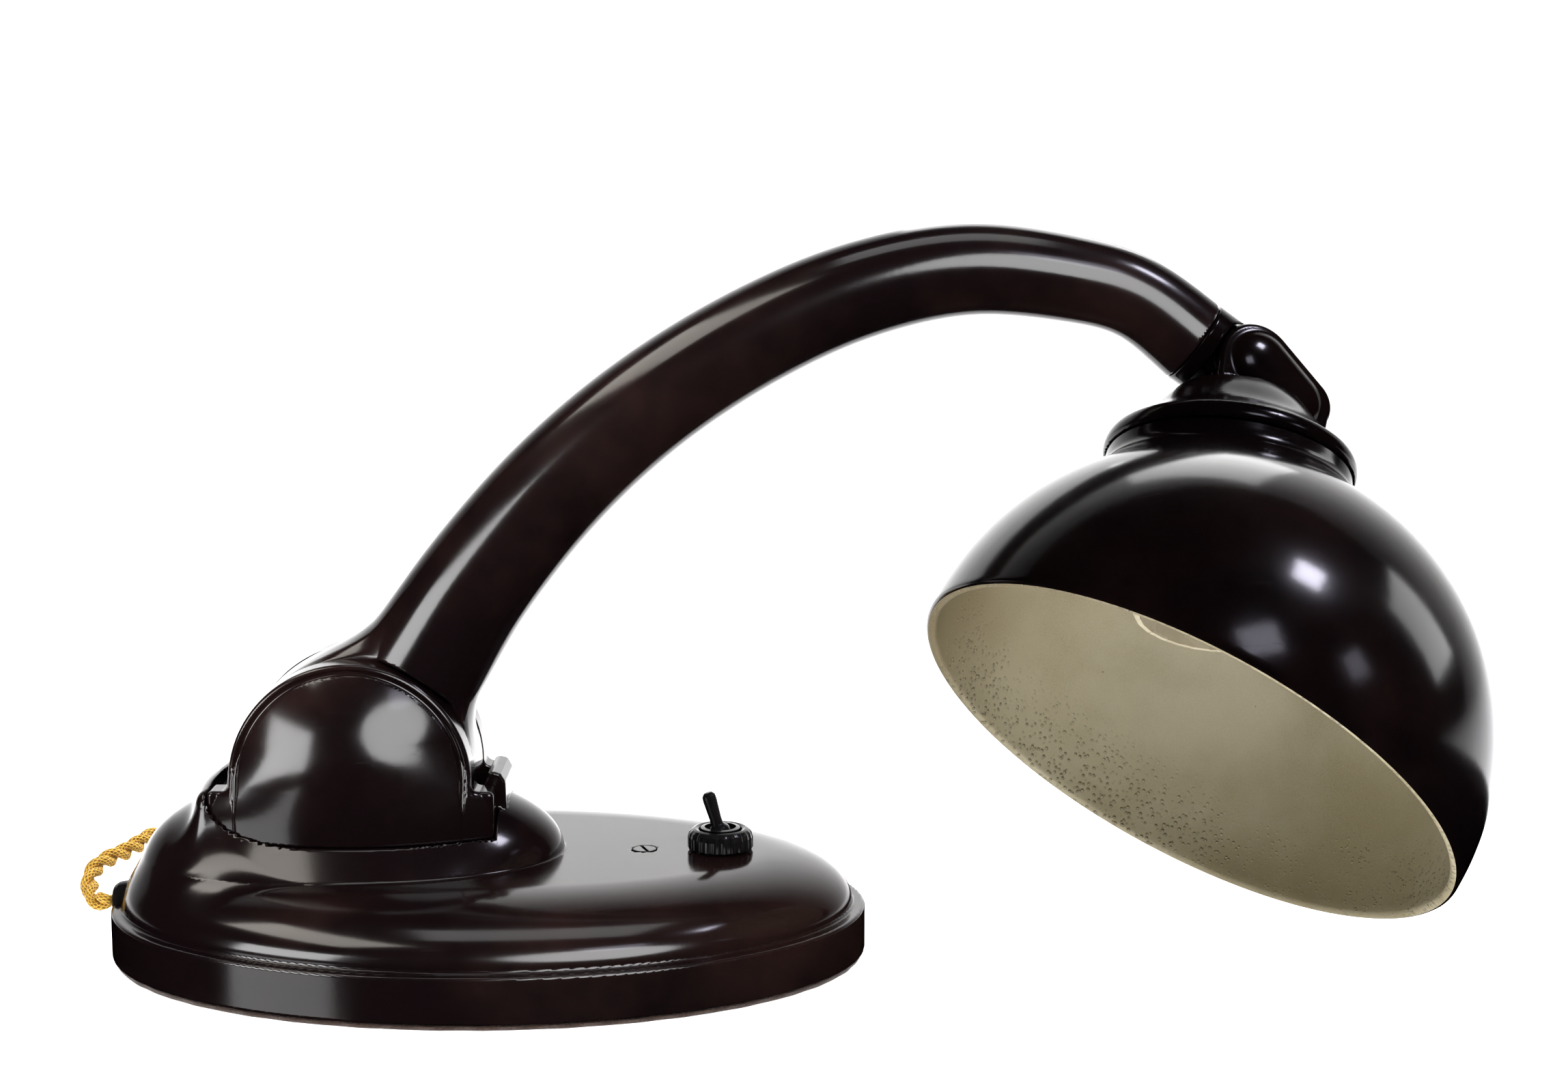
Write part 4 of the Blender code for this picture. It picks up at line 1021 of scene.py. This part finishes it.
# ---- the shade
def shade_skin(radius, neck, heights, fillet, rows, segments):
    """Rings of one skin of the shade, from the neck down to the mouth."""
    rings = [circle(neck, height, segments) for height in heights]
    start = acos((neck + fillet) / radius)
    low = asin(-MOUTH_DROP / radius)
    sphere_z = -SHADE_DROP + radius * sin(start)
    top_z = heights[-1]
    bend_z = sphere_z + fillet / tan(start)
    cove_steps = 10
    for k in range(1, cove_steps):
        t = k / cove_steps
        height = (1 - t) ** 2 * top_z + 2 * t * (1 - t) * bend_z + t * t * sphere_z
        rings.append(circle(neck + fillet * t * t, height, segments))
    for k in range(rows + 1):
        t = k / rows
        lean = MOUTH_LEAN * t ** 1.5
        angle = start + (low - start) * t
        offset, size = radius * sin(angle), radius * cos(angle)
        centre = Vector((offset * sin(lean), 0.0, offset * cos(lean) - SHADE_DROP))
        across, side = Vector((cos(lean), 0.0, -sin(lean))), Vector((0.0, 1.0, 0.0))
        rings.append([tuple(centre + across * size * cos(a) + side * size * sin(a))
                      for a in turn_angles(segments)])
    return rings


def rolled_lip(outer, inner, steps=8):
    """Half round from the outer skin's last ring to the inner skin's."""
    rings = []
    for k in range(1, steps):
        a = pi * k / steps
        ring = []
        for p, q in zip(outer, inner):
            p, q = Vector(p), Vector(q)
            middle, half = (p + q) / 2, (p - q) / 2
            bulge = MOUTH_DIR * half.length * 0.85 * sin(a)
            ring.append(tuple(middle + half * cos(a) + bulge))
        rings.append(ring)
    return rings


def build_shade(shell, paint):
    segments, rows = 144, 56
    outer = shade_skin(SHADE_R, NECK_R, (-0.0003, -0.0008, -0.0018, -0.0030), 0.0085, rows,
                       segments)
    inner = shade_skin(SHADE_R - SHADE_WALL, NECK_R - 0.0035, (-0.0040, -0.0060), 0.0080,
                       rows, segments)
    lip = rolled_lip(outer[-1], inner[-1])
    lid = [circle(r, z, segments)
           for r, z in ((0.0056, -0.0032), (0.0056, -GAP / 2), (NECK_R - 0.0014, -GAP / 2),
                        (NECK_R - 0.0004, -GAP / 2))]
    under = [circle(r, -0.0036, segments) for r in (NECK_R - 0.0042, 0.0200, 0.0062)]
    verts, faces = skin_rings(lid + outer + lip + inner[::-1] + under, closed_rows=True)
    painted_from = len(lid) + len(outer) + len(lip) // 2 - 1
    slots = [int(i // segments >= painted_from) for i in range(len(faces))]
    faces = [f[::-1] for f in faces]
    shade = add_mesh("domed_shade", verts, faces, [shell, paint], SHADE_FRAME,
                     face_slots=slots, sharp=40.0)
    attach(shade, "shade")
    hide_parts("shade")


# ---- small pieces
def build_switch(black):
    """Ribbed collar, threaded bush and tapered lever of the toggle switch."""
    place = Matrix.Translation((SWITCH_X, 0, 0))
    ribs = 22

    def ribbed(angle, r, z):
        if r < 0.0080 or z > 0.0366:
            return 1.0
        return 1.0 + 0.026 * max(-0.5, min(0.6, 1.6 * cos(ribs * angle)))

    collar = lathe("ribbed_collar", [
        (0.0063, TOP_Z + GAP), (0.0088, TOP_Z + GAP), (0.0094, TOP_Z + 0.0008),
        (0.0094, 0.0350), (0.0090, 0.0364), (0.0082, 0.0372), (0.0074, 0.0375),
        (0.0063, 0.0372)], black, place, "Z", ribs * 10, tube=True, wobble=ribbed)
    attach(collar, "base")
    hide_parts("switch_collar")

    thread = [(0.0060 - 0.0003 * (k % 2), 0.0272 + 0.00045 * k) for k in range(22)]
    bush = lathe("threaded_bush", [(0.0, 0.0145), (0.0108, 0.0145), (0.0110, 0.0270)]
                 + thread + [(0.0058, 0.0376), (0.0046, 0.0378), (0.0044, 0.0340),
                             (0.0040, 0.0300), (0.0, 0.0300)], black, place, "Z", 48,
                 radius=0.0001)
    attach(bush, "base")
    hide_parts("switch_body")

    tilt = Matrix.Translation(LEVER_PIVOT) @ Matrix.Rotation(LEVER_LEAN, 4, "Y")
    lever = lathe("tapered_lever", [
        (0.0, -0.0032), (0.0020, -0.0030), (0.0034, -0.0014), (0.0036, 0.0008),
        (0.0030, 0.0024), (0.0019, 0.0034), (0.0018, 0.0052), (0.0021, 0.0110),
        (0.0020, 0.0124), (0.0012, 0.0133), (0.0, 0.0134)], black, tilt, "Z", 36,
        radius=0.0006)
    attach(lever, "lever")
    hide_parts("switch_lever")


def screw_distance(p):
    x, y, z = p.T
    across = hypot(x, y)
    head = round_both(across - 0.0034, maximum(z - 0.0311, 0.0290 - z), 0.0003)
    stem = maximum(across - 0.0015, maximum(z - 0.0300, 0.0045 - z))
    turned = x * cos(0.35) + y * sin(0.35)
    slot = maximum(np.abs(turned) - 0.00045, 0.0301 - z)
    return maximum(minimum(head, stem), -slot)


def build_screw(material):
    screw = field_mesh("slotted_screw", screw_distance, (-0.0038, -0.0038, 0.0042),
                       (0.0038, 0.0038, 0.0316), 0.0002, material,
                       Matrix.Translation((SCREW_X, 0, 0)))
    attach(screw, "base")
    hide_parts("top_screw")


def build_felt(material):
    """Felt under the base, with its cut edge slightly uneven."""
    segments = 240
    rings = []
    for inset, z in ((0.0016, 0.0), (0.0012, 0.0003), (0.0011, 0.0012), (0.0014, FELT_THICK)):
        ring = []
        for t in turn_angles(segments):
            size = 0.00010 * sin(37 * t) + 0.00008 * sin(61 * t + z * 900) - inset
            ring.append(((BASE_A + size) * cos(t), (BASE_B + size) * sin(t), z))
        rings.append(ring)
    verts, faces = skin_rings([[(0.0, 0.0, 0.0)]] + rings + [[(0.0, 0.0, FELT_THICK)]])
    pad = add_mesh("felt_sole", verts, faces, [material], sharp=50.0)
    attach(pad, "base")
    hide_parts("felt_pad")


# ---- carried-over nodes
def dress_frame(finishes):
    """Gives every CAD node that is kept its procedural material, by its slot's name."""
    for row in frame["record"]["subparts"]:
        obj = frame["nodes"].get(row["node"])
        finish = finishes.get(row["material_slot"])
        if obj is None or finish is None:
            continue
        if not obj.material_slots:
            obj.data.materials.append(finish)
        for spot in obj.material_slots:
            spot.material = finish


# ---- floor, lights
def build_stage():
    """A white floor that turns up into a backdrop behind the lamp.  The part of it by the
    lamp and in front is kept out of reflections, because the photo's show no floor."""
    s = Shader("white_sweep")
    s.set(Base_Color=rgb(0.90, 0.90, 0.90), Roughness=0.38, Specular_IOR_Level=0.35)
    s.set(Normal=s.bump(s.noise(300.0, 2.0, 0.5), 0.02, 0.0005))
    left, right, front, split = -4.0, 4.2, -4.0, 0.12
    bend, turn_r, top, steps = 1.4, 0.9, 3.6, 12
    profile = [(front, 0.0), (split, 0.0), (bend, 0.0)]
    profile += [(bend + turn_r * sin(a), turn_r - turn_r * cos(a))
                for a in (pi / 2 * k / steps for k in range(1, steps + 1))]
    profile += [(bend + turn_r, top)]
    for name, outline in (("floor", profile[:2]), ("sweep", profile[1:])):
        verts, faces = [], []
        for y, z in outline:
            verts += [(left, y, z), (right, y, z)]
        for k in range(len(outline) - 1):
            faces.append((2 * k, 2 * k + 1, 2 * k + 3, 2 * k + 2))
        part = add_mesh(name, verts, faces, [s.material])
        part.visible_glossy = name == "sweep"


def area_light(name, spot, aim, size, power, tint=(1.0, 1.0, 1.0), mirrored=True,
               shape="RECTANGLE"):
    """A soft box.  One that isn't mirrored lights the scene but shows in no reflection."""
    data = bpy.data.lights.new(name, "AREA")
    data.shape = shape
    data.size, data.size_y = size
    data.energy = power
    data.color = tint
    light = bpy.data.objects.new(name, data)
    light.location = spot
    light.rotation_euler = (Vector(aim) - Vector(spot)).to_track_quat("-Z", "Y").to_euler()
    light.visible_glossy = mirrored
    bpy.context.scene.collection.objects.link(light)
    return light


def light_only(light, names):
    """Keeps a light to some pieces, as a flag keeps a studio lamp off the others."""
    group = bpy.data.collections.new(f"lit_by_{light.name}")
    for name in names:
        group.objects.link(bpy.data.objects[name])
    light.light_linking.receiver_collection = group


def build_lights():
    """A white world that only the camera sees, and soft boxes as the photo's reflections
    show them: two windows, strips above, three panes, and two weak ones behind."""
    world = bpy.data.worlds.new("studio")
    world.use_nodes = True
    world.node_tree.nodes["Background"].inputs["Color"].default_value = rgb(1.0, 1.0, 1.0)
    world.cycles_visibility.diffuse = False
    world.cycles_visibility.glossy = False
    bpy.context.scene.world = world
    bpy.context.scene.view_settings.view_transform = "Standard"
    stand_middle = (0.0, -0.03, 0.06)
    area_light("overhead", (0.1, 0.3, 2.0), (0.1, 0.4, 0.0), (2.8, 2.2), 41.0, mirrored=False)
    area_light("backdrop_wash", (0.1, 0.8, 2.2), (0.1, 2.2, 0.8), (3.2, 1.0), 44.0,
               mirrored=False)
    left = area_light("window_left", (-1.22, -1.07, 0.45), stand_middle, (0.80, 0.62), 56.0)
    mirrored_middle = (0.0, -0.03, -0.06)
    table = area_light("window_in_table", (-1.22, -1.07, -0.45), mirrored_middle,
                       (0.80, 0.62), 14.0)
    right = area_light("window_right", (0.58, -1.34, 0.79), stand_middle, (1.15, 0.95),
                       82.0, shape="ELLIPSE")
    roof = area_light("roof_strip", (-0.92, -0.34, 1.5), (-0.3, -0.1, 0.0), (1.15, 0.50), 32.0,
                      (1.0, 0.94, 0.86))
    dim = area_light("roof_dim", (0.10, -0.10, 1.6), (0.1, -0.1, 0.0), (0.90, 0.55), 10.0)
    stand = ["moulded_base", "domed_cheek_near", "domed_cheek_far", "curved_arm"]
    for light in (left, right, roof, dim):
        light_only(light, stand + ["floor", "sweep"])
    light_only(table, stand)
    back = area_light("back_window", (0.40, 1.50, 1.30), stand_middle, (0.90, 0.90), 12.0)
    side = area_light("side_window", (2.20, 0.60, 0.90), stand_middle, (0.70, 0.90), 14.0)
    for light in (back, side):
        light_only(light, ["domed_shade", "curved_arm", "domed_cheek_far", "braided_flex"])
    pane = (0.86, 0.84, 1.0)
    area_light("pane_high", (1.03, -0.21, 1.39), (0.21, -0.11, 0.13), (0.24, 0.24), 14.0, pane)
    area_light("pane_middle", (0.64, -1.05, 1.22), (0.20, -0.12, 0.12), (0.40, 0.30), 5.0, pane)
    area_light("pane_low", (1.42, -0.69, 0.82), (0.22, -0.12, 0.11), (0.22, 0.22), 1.2, pane)


# ---- build
def main():
    add_camera()
    shell = bakelite()
    black = bakelite("black_moulding", (0.006, 0.0055, 0.0055), (0.010, 0.009, 0.009), 0.14)
    paint = champagne_paint()
    gold = braid()
    brass = metal("aged_brass", (0.62, 0.44, 0.20), 0.30, (0.22, 0.14, 0.06))
    steel = metal("dull_zinc", (0.52, 0.53, 0.55), 0.38, (0.26, 0.26, 0.27))
    felted = felt()

    flex, route = build_flex(gold)
    plug = build_plug(black, brass)
    bush = build_bushing(black)
    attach(flex, "base")
    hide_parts("flex_run", "flex_coil")

    dress_frame({"dark_bakelite": shell, "black_bakelite": black, "zinced_steel": steel,
                 "cast_iron": cast_iron(), "brass": brass, "brown_felt": felted,
                 "lampholder_porcelain": porcelain(), "rubber_lead": rubber(),
                 "gold_braid": gold})
    build_base_shell(shell)
    build_cheeks(shell)
    build_arm(shell)
    build_knuckle(shell)
    build_head(shell)
    build_shade(shell, paint)
    build_switch(black)
    build_screw(shell)
    build_felt(felted)
    build_stage()
    build_lights()


main()
